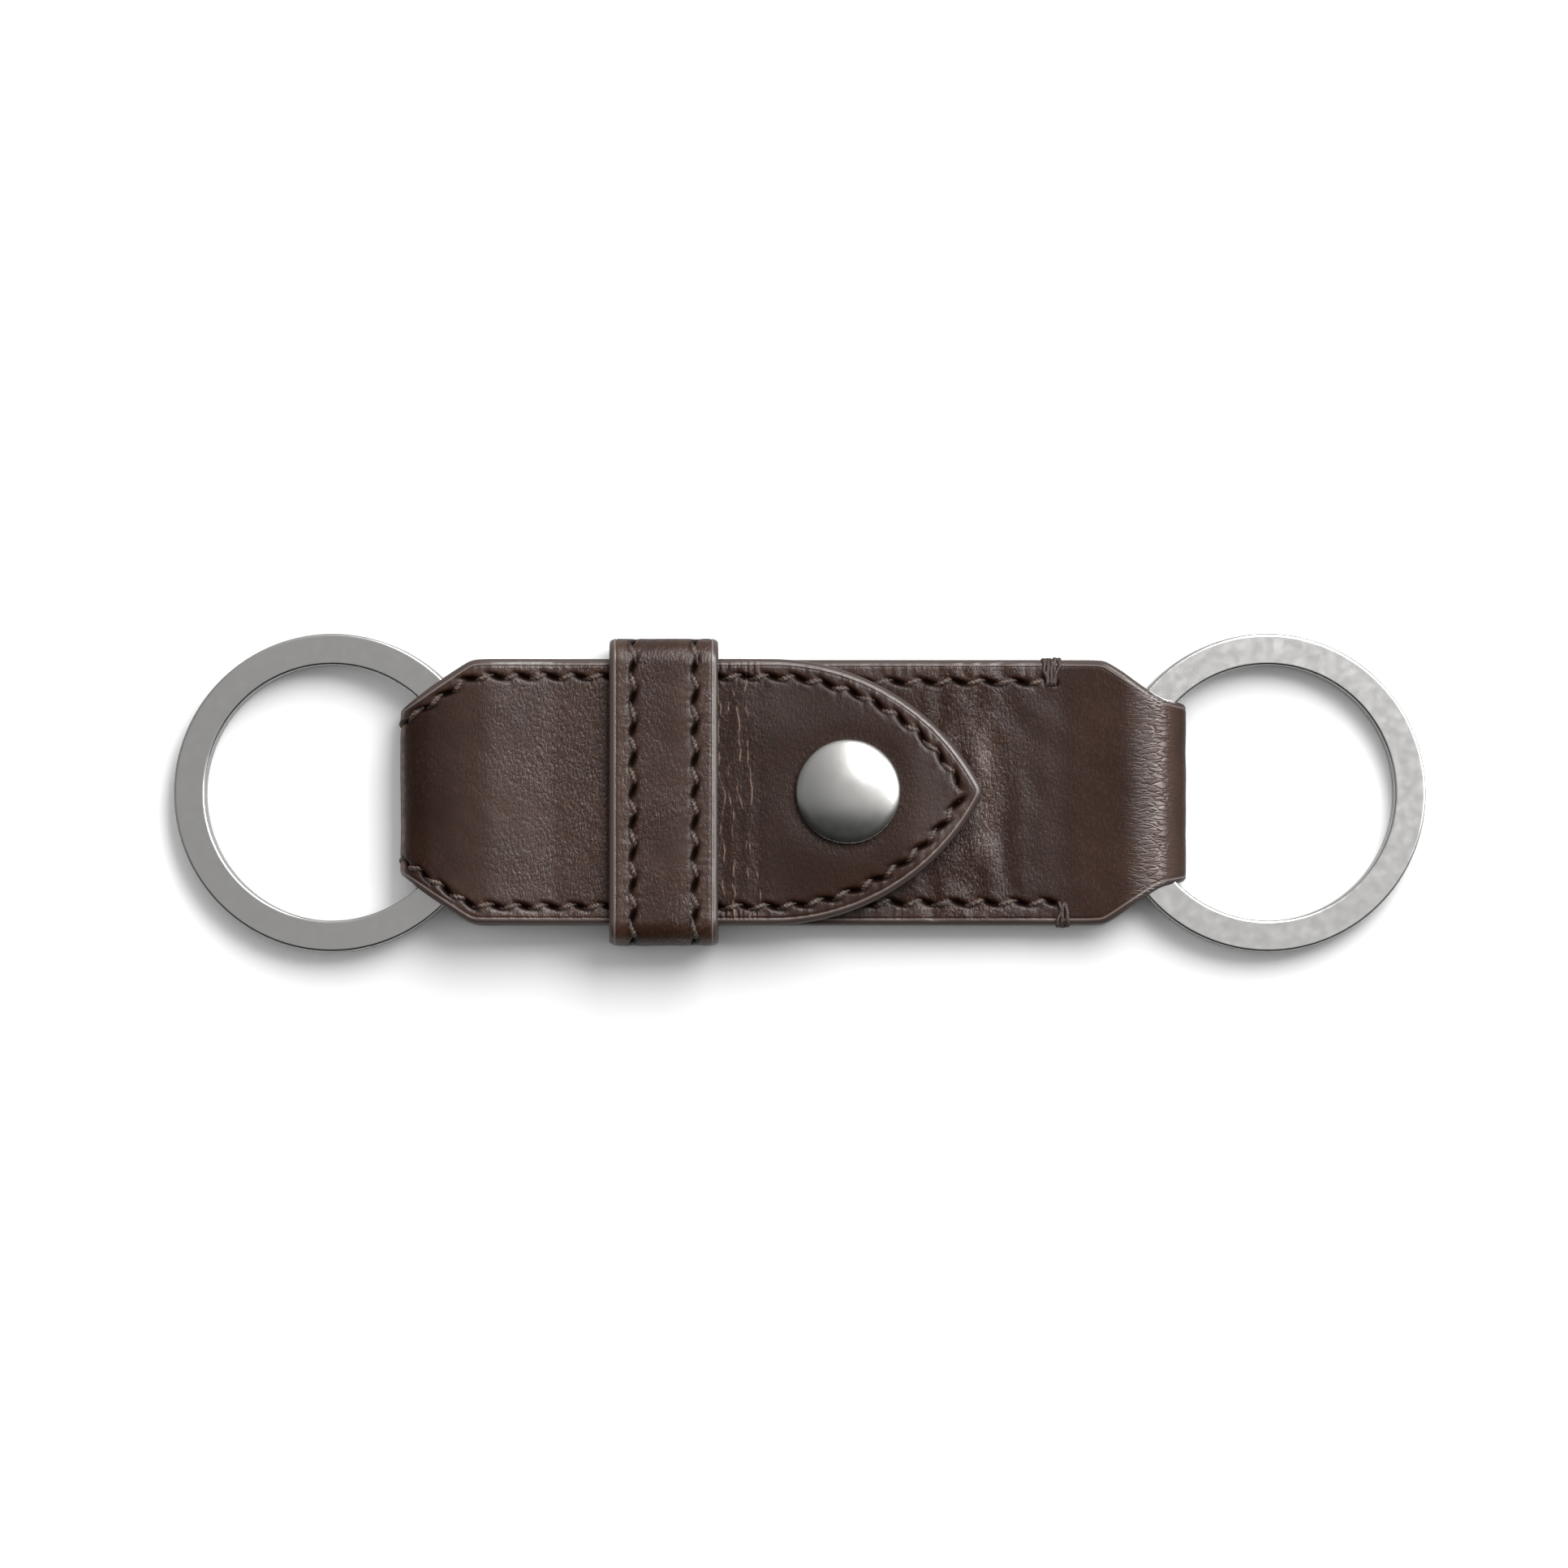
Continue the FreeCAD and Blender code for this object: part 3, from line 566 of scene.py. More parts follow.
@dataclass
class Seam:
    """A row of stitches on a strip, as places along and across its unrolled face."""

    points: list[tuple[float, float]]
    pitch: float
    inset: float
    slant: float = -0.34
    fade: float = 0.8
    holes: list[tuple[Vector, Vector]] = field(default_factory=list, init=False)

    def __post_init__(self) -> None:
        """Space the needle holes evenly."""
        line = [Vector(point) for point in self.points]
        lengths = [(b - a).length for a, b in zip(line, line[1:])]
        count = max(1, round(sum(lengths) / self.pitch))
        gap, wanted, passed = sum(lengths) / count, 0.0, 0.0
        for start, end, run in zip(line, line[1:], lengths):
            while wanted <= passed + run + 1e-6 and len(self.holes) <= count:
                heading = (end - start).normalized()
                self.holes.append((start + heading * (wanted - passed), heading))
                wanted += gap
            passed += run
        self.tree = KDTree(len(self.holes))
        for number, (hole, _) in enumerate(self.holes):
            self.tree.insert((hole.x, hole.y, 0), number)
        self.tree.balance()
        self.first = min(point[0] for point in self.points)
        self.last = max(point[0] for point in self.points)

    def covers(self, along: float) -> float:
        """1 where the row runs, easing to 0 just past its ends."""
        first, last, fade = self.first, self.last, self.fade
        return ramp(along, first - fade, first) * ramp(along, last + fade, last)

    def nearest(self, along: float, across: float) -> tuple[float, float]:
        """Where a point lies from the nearest hole: along the row, and aside of it."""
        _, number, _ = self.tree.find((along, across, 0))
        hole, heading = self.holes[number]
        away = Vector((along, across)) - hole
        return away.dot(heading), away.cross(heading)

    def stitches(self) -> Iterable[tuple[Vector, Vector, float]]:
        """Each stitch's middle, heading and span."""
        for (start, _), (end, _) in zip(self.holes, self.holes[1:]):
            yield (start + end) / 2, (end - start).normalized(), (end - start).length


@dataclass
class Strip:
    """A strip of leather that follows a path, with rounded edges, pressed seams and its own surface."""

    name: str
    path: Path
    plan: StrapPlan | FlapPlan | BandPlan
    thick: float
    seams: list[Seam] = field(default_factory=list)
    surface: Callable[[float, float], Touch] = lambda _x, _across: Touch()
    sag: Callable[[float, float], float] | None = None
    fine: float = 0.13
    coarse: float = 0.34
    middle_x: float | None = None
    edge_round: float = 0.55
    channel_deep: float = 0.04
    channel_wide: float = 0.42
    pit_deep: float = 0.42
    pit_long: float = 0.82
    pit_wide: float = 0.23
    seam_reach: float = 2.2
    pucker: float = 0.06
    pillow: float = 0.03
    fibre: float = 0.09
    rim_full: float = 0.4
    rim_ends: float = 0.62
    groove_at: float = 0.65
    groove_wide: float = 0.06
    groove_deep: float = 0.055

    RIM_INSETS = (0.0, 0.01, 0.04, 0.09, 0.16, 0.25, 0.34, 0.42, 0.47, 0.52, 0.57, 0.62, 0.68, 0.75,
                  0.88, 1.05)
    MARKS = ("rim", "pit", "grain", "wax_and_painted_sheen", "crease", "drawn")
    UNDERSIDE = (0.0, 0.5, 0.6, 0.0, 0.0)

    def columns(self) -> list[float]:
        """Places across the widest row, dense at the edges and the seams."""
        half = self.plan.width(-10.0)
        insets = list(self.RIM_INSETS)
        dense_to = 2.9 if self.seams else 1.1
        while insets[-1] < dense_to:
            insets.append(insets[-1] + self.fine)
        count = max(2, round((half - insets[-1]) / self.coarse))
        insets += [insets[-1] + (half - insets[-1]) * n / count for n in range(1, count + 1)]
        right = [(half - inset) / half for inset in insets]
        return [-share for share in right[:-1]] + list(reversed(right))

    def place(self, spot: Spot, across: float, lift: float) -> Vector:
        """A point in space, in metres, a lift above the outer face."""
        x, z = spot.x + spot.out_x * lift, spot.z + spot.out_z * lift
        if self.middle_x is not None:
            return Vector((self.middle_x + across, x, z)) * MM
        if self.sag:
            z -= self.sag(x, across)
        return Vector((x, across, z)) * MM

    def rounding(self, inset: float) -> float:
        """How far the painted edge falls away, down to the middle of the thickness."""
        share = 1 - min(inset / self.edge_round, 1.0)
        return self.thick / 2 * (1 - math.sqrt(max(0.0, 1 - share * share)))

    def face(self, spot: Spot, across: float) -> tuple[float, tuple[float, ...]]:
        """The outer face's lift and its marks at a point."""
        inset = max(0.0, self.plan.inset(spot.x, across))
        sewn = self.plan.sewn(spot.x, across)
        touch = self.surface(spot.x, across)
        lift, pit, wax_and_painted_sheen = touch.swell * ramp(inset, 0.0, 0.8), 0.0, touch.wax_and_painted_sheen
        for seam in self.seams:
            covered = seam.covers(spot.along)
            if not covered:
                continue
            run, aside = seam.nearest(spot.along, across)
            if abs(aside) > self.seam_reach or abs(run) > seam.pitch:
                continue
            hole = bump(run, self.pit_long) * bump(aside - seam.slant * run, self.pit_wide) * covered
            pit = max(pit, hole)
            beside = bump(sewn - seam.inset, 1.0) * covered
            lift -= self.channel_deep * bump(sewn - seam.inset, self.channel_wide) * covered
            lift += self.pucker * beside * rough(spot.along, across * 0.35, 0.42, 11.0)
            margin = ramp(sewn, seam.inset - 0.2, seam.inset - 0.5) * ramp(inset, 0.3, 0.6) * covered
            lift += self.fibre * margin * rough(spot.along, across * 0.12, 0.3, 51.0)
            # Sheen painted on the margin between the seam and the edge.
            wax_and_painted_sheen += 0.3 * margin
            lift += self.pillow * beside * (1 - bump(sewn - seam.inset, 0.35)) * bump(run, seam.pitch * 0.3)
        rim = ramp(inset, self.rim_ends, self.rim_full)
        groove = self.groove_deep * bump(inset - self.groove_at, self.groove_wide)
        lift -= self.pit_deep * pit + self.rounding(inset) + groove
        # Edges shine more; in needle holes the sheen is taken away, painting them darker as shade.
        wax_and_painted_sheen = (wax_and_painted_sheen + 0.4 * rim) * (1 - min(1.0, pit * 2.0))
        return lift, (rim, min(1.0, pit * 1.2), touch.grain, wax_and_painted_sheen, touch.crease, touch.drawn)

    def build(self, finish: bpy.types.Material) -> bpy.types.Object:
        """Model the strip as one closed shell."""
        shares = self.columns()
        under = [share for number, share in enumerate(reversed(shares)) if number % 3 == 0 or number < 6
                 or number > len(shares) - 7][1:-1]
        ring = [(share, True) for share in shares] + [(share, False) for share in under]
        columns = len(ring) + 1
        rows = len(self.path.spots)
        form = bmesh.new()
        flat = form.verts.layers.float_vector.new("flat")
        marks = [form.verts.layers.float.new(mark) for mark in self.MARKS]
        bmesh.ops.create_grid(form, x_segments=rows - 1, y_segments=columns - 1, size=1.0)
        order = sorted(form.verts, key=lambda v: (round((v.co.x + 1) * (rows - 1) / 2), v.co.y))
        for row, spot in enumerate(self.path.spots):
            half = self.plan.width(spot.x)
            for column in range(columns):
                share, outer = ring[column % len(ring)]
                across = share * half
                vert = order[row * columns + column]
                lift, values = self.face(spot, across)
                if not outer:
                    lift = self.rounding(max(0.0, self.plan.inset(spot.x, across))) - self.thick
                    values = values[:1] + self.UNDERSIDE
                vert.co = self.place(spot, across, lift)
                grown = (spot.along, across) if self.middle_x is None else (across, spot.along)
                vert[flat] = Vector((*grown, 0 if outer else 40)) * MM
                for mark, value in zip(marks, values):
                    vert[mark] = value
        bmesh.ops.remove_doubles(form, verts=form.verts, dist=1e-7)
        seal(form)
        return piece_from(form, self.name, finish)

    def frame_at(self, along: float, across: float, heading: Vector, sunk: float) -> Matrix:
        """Where a stitch lies: its middle, with X along the heading and Z out of the face."""
        spot = self.path.at(along)
        seam_lift = -self.channel_deep / 2 - sunk * (1 - abs(spot.out_z))
        origin = self.place(spot, across, seam_lift)
        ahead = self.path.at(along + heading.x * 0.2)
        onward = (self.place(ahead, across + heading.y * 0.2, seam_lift) - origin).normalized()
        upward = self.place(spot, across, seam_lift + 0.2) - origin
        side = upward.cross(onward).normalized()
        upward = onward.cross(side)
        turn = Matrix((onward, side, upward)).transposed().to_4x4()
        return Matrix.Translation(origin) @ turn


# Meshes
def seal(form: bmesh.types.BMesh) -> None:
    """Close a mesh's open ends and face it outwards."""
    bmesh.ops.holes_fill(form, edges=[edge for edge in form.edges if edge.is_boundary])
    bmesh.ops.recalc_face_normals(form, faces=form.faces)


def piece_from(form: bmesh.types.BMesh, name: str, finish: bpy.types.Material) -> bpy.types.Object:
    """Turn a finished bmesh into a smooth-shaded object at the origin.

    Args:
        form: The mesh, in metres. It is freed.
        name: The piece's name.
        finish: Its material.

    Returns:
        The object, linked to the scene.
    """
    mesh = bpy.data.meshes.new(name)
    form.to_mesh(mesh)
    form.free()
    mesh.materials.append(finish)
    mesh.shade_smooth()
    piece = bpy.data.objects.new(name, mesh)
    bpy.context.scene.collection.objects.link(piece)
    log.info("%s: %d faces", name, len(mesh.polygons))
    return piece


def bend_between(first: str, second: str, stretch: tuple[float, float]) -> dict[str, object]:
    """The two bodies that a piece crosses and the stretch of X between them."""
    start, end = stretch
    return {"a": first, "b": second, "start": (start * MM, 0, 0), "end": (end * MM, 0, 0)}


def hang(piece: bpy.types.Object, slot: Finish, *nodes: str, body: str = "",
         bend: dict[str, object] | None = None) -> None:
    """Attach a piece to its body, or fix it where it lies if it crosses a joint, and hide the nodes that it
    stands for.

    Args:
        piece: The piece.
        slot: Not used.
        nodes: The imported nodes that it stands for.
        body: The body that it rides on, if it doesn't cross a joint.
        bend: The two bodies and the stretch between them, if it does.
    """
    if bend:
        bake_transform(piece)
    else:
        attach(piece, body)
    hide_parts(*nodes)


@dataclass(frozen=True)
class Strand:
    """One stitch: two plies twisted together that rise from one needle hole and dive into the next."""

    radius: float = 0.28
    rise: float = -0.1
    dive: float = 0.5
    turns: float = 3.2
    share: float = 0.92
    rows: int = 20
    around: int = 7

    def mesh(self, long: float) -> bpy.types.Mesh:
        """Model one strand of a given length about the origin."""
        form = bmesh.new()
        highlight_ridge = form.verts.layers.float.new("highlight_ridge")
        bmesh.ops.create_grid(form, x_segments=self.rows, y_segments=self.around, size=1.0)
        for vert in form.verts:
            share, angle = vert.co.x, math.pi * vert.co.y
            lobe = abs(math.cos(angle - math.pi * self.turns * share))
            radius = self.radius * (0.72 + 0.34 * lobe) * (1 - 0.4 * share ** 6)
            sunk = ramp(abs(share), 0.18, 0.78)
            height = self.rise - (self.rise + self.dive) * sunk
            # The ridge mark paints a highlight on each ply's crest, fading to painted shade as the stitch
            # sinks into its holes.
            vert[highlight_ridge] = lobe * (1 - sunk)
            vert.co = Vector((
                share * long * self.share / 2, radius * math.cos(angle),
                height + radius * math.sin(angle),
            )) * MM
        bmesh.ops.remove_doubles(form, verts=form.verts, dist=1e-7)
        seal(form)
        mesh = bpy.data.meshes.new("strand")
        form.to_mesh(mesh)
        form.free()
        return mesh


def sew(strip: Strip, finish: bpy.types.Material, sunk: float = 0.0) -> bpy.types.Object:
    """Lay stitches in the seams of a strip, each a little different from the last.

    Args:
        strip: The strip that is sewn.
        finish: The thread's material.
        sunk: How much lower the stitches lie where the strip stands upright.

    Returns:
        All the stitches as one piece.
    """
    form = bmesh.new()
    for seam in strip.seams:
        for middle, heading, span in seam.stitches():
            chance = noise.random_vector()
            strand = Strand(rise=Strand.rise + 0.03 * chance.x, turns=Strand.turns + 0.5 * chance.y).mesh(
                span * (1 + 0.06 * chance.z))
            turned = Matrix.Rotation(seam.slant + 0.1 * chance.y, 2) @ heading
            count = len(form.verts)
            form.from_mesh(strand)
            form.verts.ensure_lookup_table()
            bmesh.ops.transform(form, matrix=strip.frame_at(middle.x, middle.y, turned, sunk),
                                verts=form.verts[count:])
            bpy.data.meshes.remove(strand)
    return piece_from(form, strip.name.replace("skin", "stitches"), finish)


@dataclass(frozen=True)
class BarTack:
    """A bar tack: a few turns of thread whipped over the edge where a row ends, fanned out at the edge."""

    x: float
    side: int
    root: float
    edge: float
    low: float
    high: float
    strands: int
    spacing: float = 0.36
    radius: float = 0.2
    around: int = 10
    proud: float = 0.02
    hump: float = 0.08
    dive: float = 0.8

    def fill(self, form: bmesh.types.BMesh) -> None:
        """Add the strands to a mesh."""
        highlight_ridge = form.verts.layers.float.get("highlight_ridge")
        over, under = self.high + self.proud, self.low - self.proud
        path = Path.bent((
            (self.root, self.high - self.dive), (self.root, over + self.hump, 0.3), (self.edge, over, 0.5),
            (self.edge, under, 0.5), (self.root, under - self.hump, 0.3), (self.root, self.low + self.dive),
        ), lambda _y, _z: 0.16)
        rows = len(path.spots)
        for strand in range(self.strands):
            made = bmesh.ops.create_grid(form, x_segments=rows - 1, y_segments=self.around, size=1.0)
            grid = made["verts"]
            for vert in grid:
                spot = path.spots[round((vert.co.x + 1) * (rows - 1) / 2)]
                angle = math.pi * vert.co.y
                lobe = abs(math.cos(angle - spot.along * 1.9 - strand))
                radius = self.radius * (0.8 + 0.3 * lobe)
                reach = radius * math.sin(angle) + 0.12 * rough(spot.along, 7.0 * strand, 1.6, self.x + 3)
                wander = 0.34 * rough(spot.along, 9.0 * strand, 1.0, self.x)
                fan = 0.62 + 0.38 * ramp(spot.x, self.root, self.edge)
                middle = (strand - (self.strands - 1) / 2) * self.spacing * fan
                # The ridge mark paints a dimmer highlight along each ply's crest.
                vert[highlight_ridge] = lobe * 0.4
                vert.co = Vector((
                    self.x + middle + wander + radius * math.cos(angle),
                    self.side * (spot.x + spot.out_x * reach), spot.z + spot.out_z * reach,
                )) * MM
            bmesh.ops.remove_doubles(form, verts=grid, dist=1e-7)
        seal(form)


@dataclass(frozen=True)
class Sizes:
    """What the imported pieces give, in millimetres."""

    half: float
    left_reach: float
    right_reach: float
    flap_reach: float
    left_end: float
    back_low: float
    front_top: float
    flap_low: float
    flap_middle: float
    flap_top: float
    keeper_top: float
    keeper_half: float
    keeper_left: float
    keeper_right: float

    @classmethod
    def read(cls) -> "Sizes":
        """Measure the frame."""
        def edge(node: str, end: int, axis: int) -> float:
            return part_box(node)[end][axis] / MM

        return cls(
            half=edge("back_leather", 1, 1), left_reach=-edge("left_loop_leather", 0, 0),
            right_reach=edge("right_loop_leather", 1, 0), flap_reach=edge("flap_tip_leather", 1, 0),
            left_end=edge("back_leather", 0, 0), back_low=edge("back_leather", 0, 2),
            front_top=edge("front_leather", 1, 2), flap_low=edge("flap_lining", 0, 2),
            flap_middle=edge("flap_leather", 0, 2), flap_top=edge("flap_leather", 1, 2),
            keeper_top=edge("keeper_leather", 1, 2), keeper_half=edge("keeper_leather", 1, 1),
            keeper_left=edge("keeper_leather", 0, 0), keeper_right=edge("keeper_leather", 1, 0),
        )

    @property
    def keeper_middle(self) -> float:
        """The middle of the keeper along the strap."""
        return (self.keeper_left + self.keeper_right) / 2


@dataclass
class Leatherwork:
    """Every strip of hide and lining, and the sewing on them."""

    sizes: Sizes
    hide: bpy.types.Material
    lining: bpy.types.Material
    thread: bpy.types.Material
    leather: float = 1.1
    loop_lining: float = 0.4
    keeper_leather: float = 0.8
    keeper_lining: float = 0.5
    body_inset: float = 2.1
    flap_inset: float = 1.7
    body_pitch: float = 2.95
    flap_pitch: float = 2.6
    keeper_pitch: float = 2.9
    keeper_inset: float = 2.2
    flap_settles: float = 0.42
    left_bulge: float = 0.7
    keeper_clear: float = 5.2
    left_drawn_in: float = 0.2
    right_drawn_in: float = 0.35
    tip_short: float = 0.005
    left_flex: tuple[float, float] = (-28.0, -24.0)
    right_flex: tuple[float, float] = (24.6, 28.0)
    flap_flex: tuple[float, float] = (-7.4, -3.0)
    body_sewn_to: float = 24.0
    crease_lines: tuple[float, ...] = (-7.4, -6.5, -5.6, -4.6)
    snap_at: float = 4.5
    snap_round: float = 5.0
    dents_at: float = 15.5
    dents_wide: float = 4.5
    # Where sheen is painted on the dents by the flap tip.
    painted_sheen_at: float = 17.6
    # Where a highlight band is painted over the right fold, among fine wrinkles.
    fold_highlight_at: float = 34.1
    wrinkles_at: tuple[float, float] = (33.8, 31.4)
    fine_rows: tuple[float, float] = (-8.4, -3.4)
    tacks: tuple[tuple[float, int, float, int], ...] = ((23.65, 1, 10.1, 5), (24.75, -1, 10.4, 3))
    sewing_seed: int = 11

    def __post_init__(self) -> None:
        """Work out the plans that the strips share."""
        own = self.sizes
        self.strap_plan = StrapPlan(own.half, own.left_reach, own.right_reach)
        self.flap_plan = FlapPlan(own.half, own.flap_reach)

    # The surface of each part of the hide
    def left_surface(self, x: float, across: float) -> Touch:
        """Soft and full over the ring, with sheen painted over its middle, shade painted at its fold and
        beside the keeper, a bright strip painted along the fold's edge, and the grain drawn out towards the
        keeper.
        """
        end = self.left_drawn_in - self.sizes.left_reach
        # A strip along the fold's edge painted lighter and glossier, as a rim light.
        painted_rim_light = ramp(x, end + 0.7, end + 0.1) * ramp(x, end, end + 0.12)
        grain = 0.12 + 0.55 * ramp(x, -34.0, -20.0) + 0.25 * rough(x, across, 5.0, 21.0) + 0.5 * painted_rim_light
        # Sheen painted over the middle, shade at the fold and beside the keeper.
        wax_and_painted_sheen = 0.6 + 0.6 * ramp(x, -35.5, -30.5) - 0.1 * ramp(x, -22.0, -19.0) + 1.1 * painted_rim_light
        pale_crease_and_highlight = 0.6 * painted_rim_light * ramp(rough(across, x, 0.5, 17.0), -0.3, 0.2)
        return Touch(0.06 * rough(x, across, 6.0) + 0.02 * rough(x, across, 1.4, 3.0), grain, wax_and_painted_sheen, pale_crease_and_highlight)

    def flap_surface(self, x: float, across: float) -> Touch:
        """A few thin wandering creases just past the keeper, and a tongue drawn down round its snap."""
        crease = 0.0
        for number, base in enumerate(self.crease_lines):
            seed = 40.5 + 7 * number
            line = base - 0.05 * across
            line += 0.7 * rough(across, 0.5, 3.4, seed) + 0.28 * rough(across, 0.5, 1.1, seed)
            there = ramp(rough(across, 0.5, 2.2, seed + 2) * 3 + 0.5)
            there *= ramp(rough(across, 0.5, 0.7, seed + 3) * 3 + 0.7)
            crease = max(crease, bump(x - line, 0.05) * there)
        near = ramp(x, -9.4, -7.8) * ramp(x, -1.2, -5.0)
        snap = bump(math.hypot(x - self.snap_at, across) - self.snap_round, 1.2)
        swell = 0.05 * rough(x, across, 5.0, 1.0) + 0.05 * near * rough(x, across * 0.2, 1.1, 5.0)
        grain = 0.12 + 0.3 * near + 0.2 * snap
        # Less sheen is painted on the flap than elsewhere, rising towards its tip; its creases are pale,
        # partly pulled-up leather and partly a highlight painted along them.
        return Touch(swell - 0.1 * snap + 0.04 * crease, grain, 0.66 + 0.3 * ramp(x, 8.0, 12.0), crease)

    def flap_sag(self, x: float, across: float) -> float:
        """How far the flap settles towards the strap at its edges and its tip."""
        side = ramp(abs(across), 4.0, self.sizes.half) * ramp(x, -6.5, 0.5)
        return self.flap_settles * max(side, ramp(x, 9.0, self.sizes.flap_reach))

    def body_surface(self, x: float, across: float) -> Touch:
        """Dents and pebbles right of the flap, and fine wrinkles over the fold, with sheen painted on the
        dents by the flap tip and a highlight band painted over the fold.
        """
        dents = bump(x - self.dents_at, self.dents_wide)
        fold = bump(x - self.fold_highlight_at, 1.1)
        upright = noise.noise(Vector((x * 0.6, across * 0.17, 8.0)))
        swell = (0.05 + 0.05 * dents) * rough(x, across, 2.6, 9.0) + 0.34 * dents * upright
        swell += 0.04 * dents * rough(x, across * 0.6, 0.9, 13.0)
        swell += 0.05 * fold * noise.noise(Vector((x * 0.45, across * 1.3, 2.0)))
        # Sheen painted brighter on the dents by the flap tip and in a highlight band over the fold.
        wax_and_painted_sheen = 0.8 + 0.3 * ramp(x, 25.0, 27.0) + 1.2 * fold
        wax_and_painted_sheen += 0.7 * bump(x - self.painted_sheen_at, 1.2) * ramp(abs(across), 9.0, 5.0)
        strong, weak = self.wrinkles_at
        drawn = bump(x - strong, 1.3) + 0.3 * bump(x - weak, 1.3)
        return Touch(swell, 0.2 + 0.7 * dents - 0.2 * ramp(x, 30.0, 32.0), wax_and_painted_sheen, 0.0, min(1.0, drawn))

    def keeper_surface(self, along: float, across: float) -> Touch:
        """Lighter and glossier on its left margin and beside its right seam."""
        wax_and_painted_sheen = 1.05 + 0.3 * ramp(across, -3.2, -3.8) + 0.3 * bump(across - 2.0, 0.8)
        grain = 0.35 + 0.4 * rough(along, across, 4.0, 31.0)
        return Touch(0.04 * rough(along, across, 3.0, 6.0), grain, wax_and_painted_sheen)

    def strap_step(self, x: float, z: float) -> float:
        """Row spacing along the strap: fine where it is seen, coarser under the flap and below."""
        if z < self.sizes.front_top - 1.0 and -36 < x < 35:
            return 0.5
        return 0.24

    def left_strip(self) -> Strip:
        """The flap's root, the left fold and the underside as far as the keeper."""
        own = self.sizes
        fold = self.left_drawn_in - own.left_reach
        start = own.keeper_left - self.keeper_clear
        path = Path.bent((
            (own.keeper_middle, own.flap_top), (start, own.flap_top, 6.0),
            (-29.5, own.flap_top + self.left_bulge, 11.0), (fold, own.flap_top + 0.1, 3.2),
            (fold, 0.0, 2.0), (-29.0, 0.0, 4.0), (-26.0, own.back_low, 4.0),
            (own.keeper_middle, own.back_low),
        ), self.strap_step)
        strip = Strip("left_loop_skin", path, self.strap_plan, self.leather, surface=self.left_surface)
        strip.seams = self.rows(strip, self.flap_inset, self.flap_pitch)
        return strip

    def body_strip(self) -> Strip:
        """The underside, the right fold and the front of the strap as far as its hidden end."""
        own = self.sizes
        fold = own.right_reach - self.right_drawn_in
        path = Path.bent((
            (own.keeper_middle, own.back_low), (26.0, own.back_low, 4.0), (29.0, 0.0, 4.0),
            (fold, 0.0, 1.4), (fold, 2.9, 1.6), (34.2, 5.0, 3.0), (31.3, 5.55, 5.0),
            (25.6, own.front_top, 12.0), (own.left_end, own.front_top),
        ), self.strap_step)
        strip = Strip("strap_skin", path, self.strap_plan, self.leather, surface=self.body_surface,
                      coarse=0.24)
        strip.seams = self.rows(strip, self.body_inset, self.body_pitch, until=self.body_sewn_to)
        return strip

    def flap_strip(self) -> Strip:
        """The flap past the keeper's middle."""
        own = self.sizes
        first, last = self.fine_rows

        def step(x: float, _z: float) -> float:
            return 0.05 if first < x < last else max(0.025, min(0.22, (own.flap_reach - x) * 0.12 + 0.02))

        tip = own.flap_reach - self.tip_short
        path = Path.bent(((tip, own.flap_top), (own.keeper_middle, own.flap_top)), step)
        strip = Strip("flap_skin", path, self.flap_plan, self.leather, surface=self.flap_surface,
                      sag=self.flap_sag)
        line = [(tip - x, across) for x, across in self.flap_plan.seam(self.flap_inset, own.keeper_middle)]
        strip.seams = [Seam(line, self.flap_pitch, self.flap_inset)]
        return strip

    def rows(self, strip: Strip, inset: float, pitch: float, until: float = 100.0) -> list[Seam]:
        """A row of stitches a distance inside each edge of a strip.

        Args:
            strip: The strip to sew.
            inset: The distance inside its edges.
            pitch: The stitch spacing.
            until: The X past which the strap isn't sewn.

        Returns:
            The rows, split where they pass that X.
        """
        seams: list[Seam] = []
        for side in (-1, 1):
            line: list[tuple[float, float]] = []
            for spot in strip.path.spots + (None,):
                if spot is not None and spot.x < until:
                    line.append((spot.along, side * (strip.plan.width(spot.x) - inset)))
                elif len(line) > 1:
                    seams.append(Seam(line, pitch, inset))
                    line = []
        return seams

    def keeper_strips(self) -> tuple[Strip, Strip]:
        """The keeper's hide and, inside it, its lining."""
        own = self.sizes

        def loop(out: float, bend: float) -> Path:
            wide, low, high = own.keeper_half - out, out, own.keeper_top - out
            return Path.bent((
                (0.0, low), (wide, low, bend), (wide, high, bend), (-wide, high, bend), (-wide, low, bend),
                (0.0, low),
            ), lambda _x, _z: 0.22)

        plan = BandPlan((own.keeper_right - own.keeper_left) / 2)
        outer = Strip("keeper_skin", loop(0.0, 2.3), plan, self.keeper_leather, middle_x=own.keeper_middle,
                      surface=self.keeper_surface, edge_round=0.65, fibre=0.03)
        row = plan.half - self.keeper_inset
        outer.seams = [
            Seam([(0.0, side * row), (outer.path.length, side * row)], self.keeper_pitch, self.keeper_inset,
                 slant=0.34)
            for side in (-1, 1)
        ]
        inner = Strip("keeper_lining_skin", loop(self.keeper_leather, 1.5), plan, self.keeper_lining,
                      middle_x=own.keeper_middle, coarse=0.8)
        return outer, inner

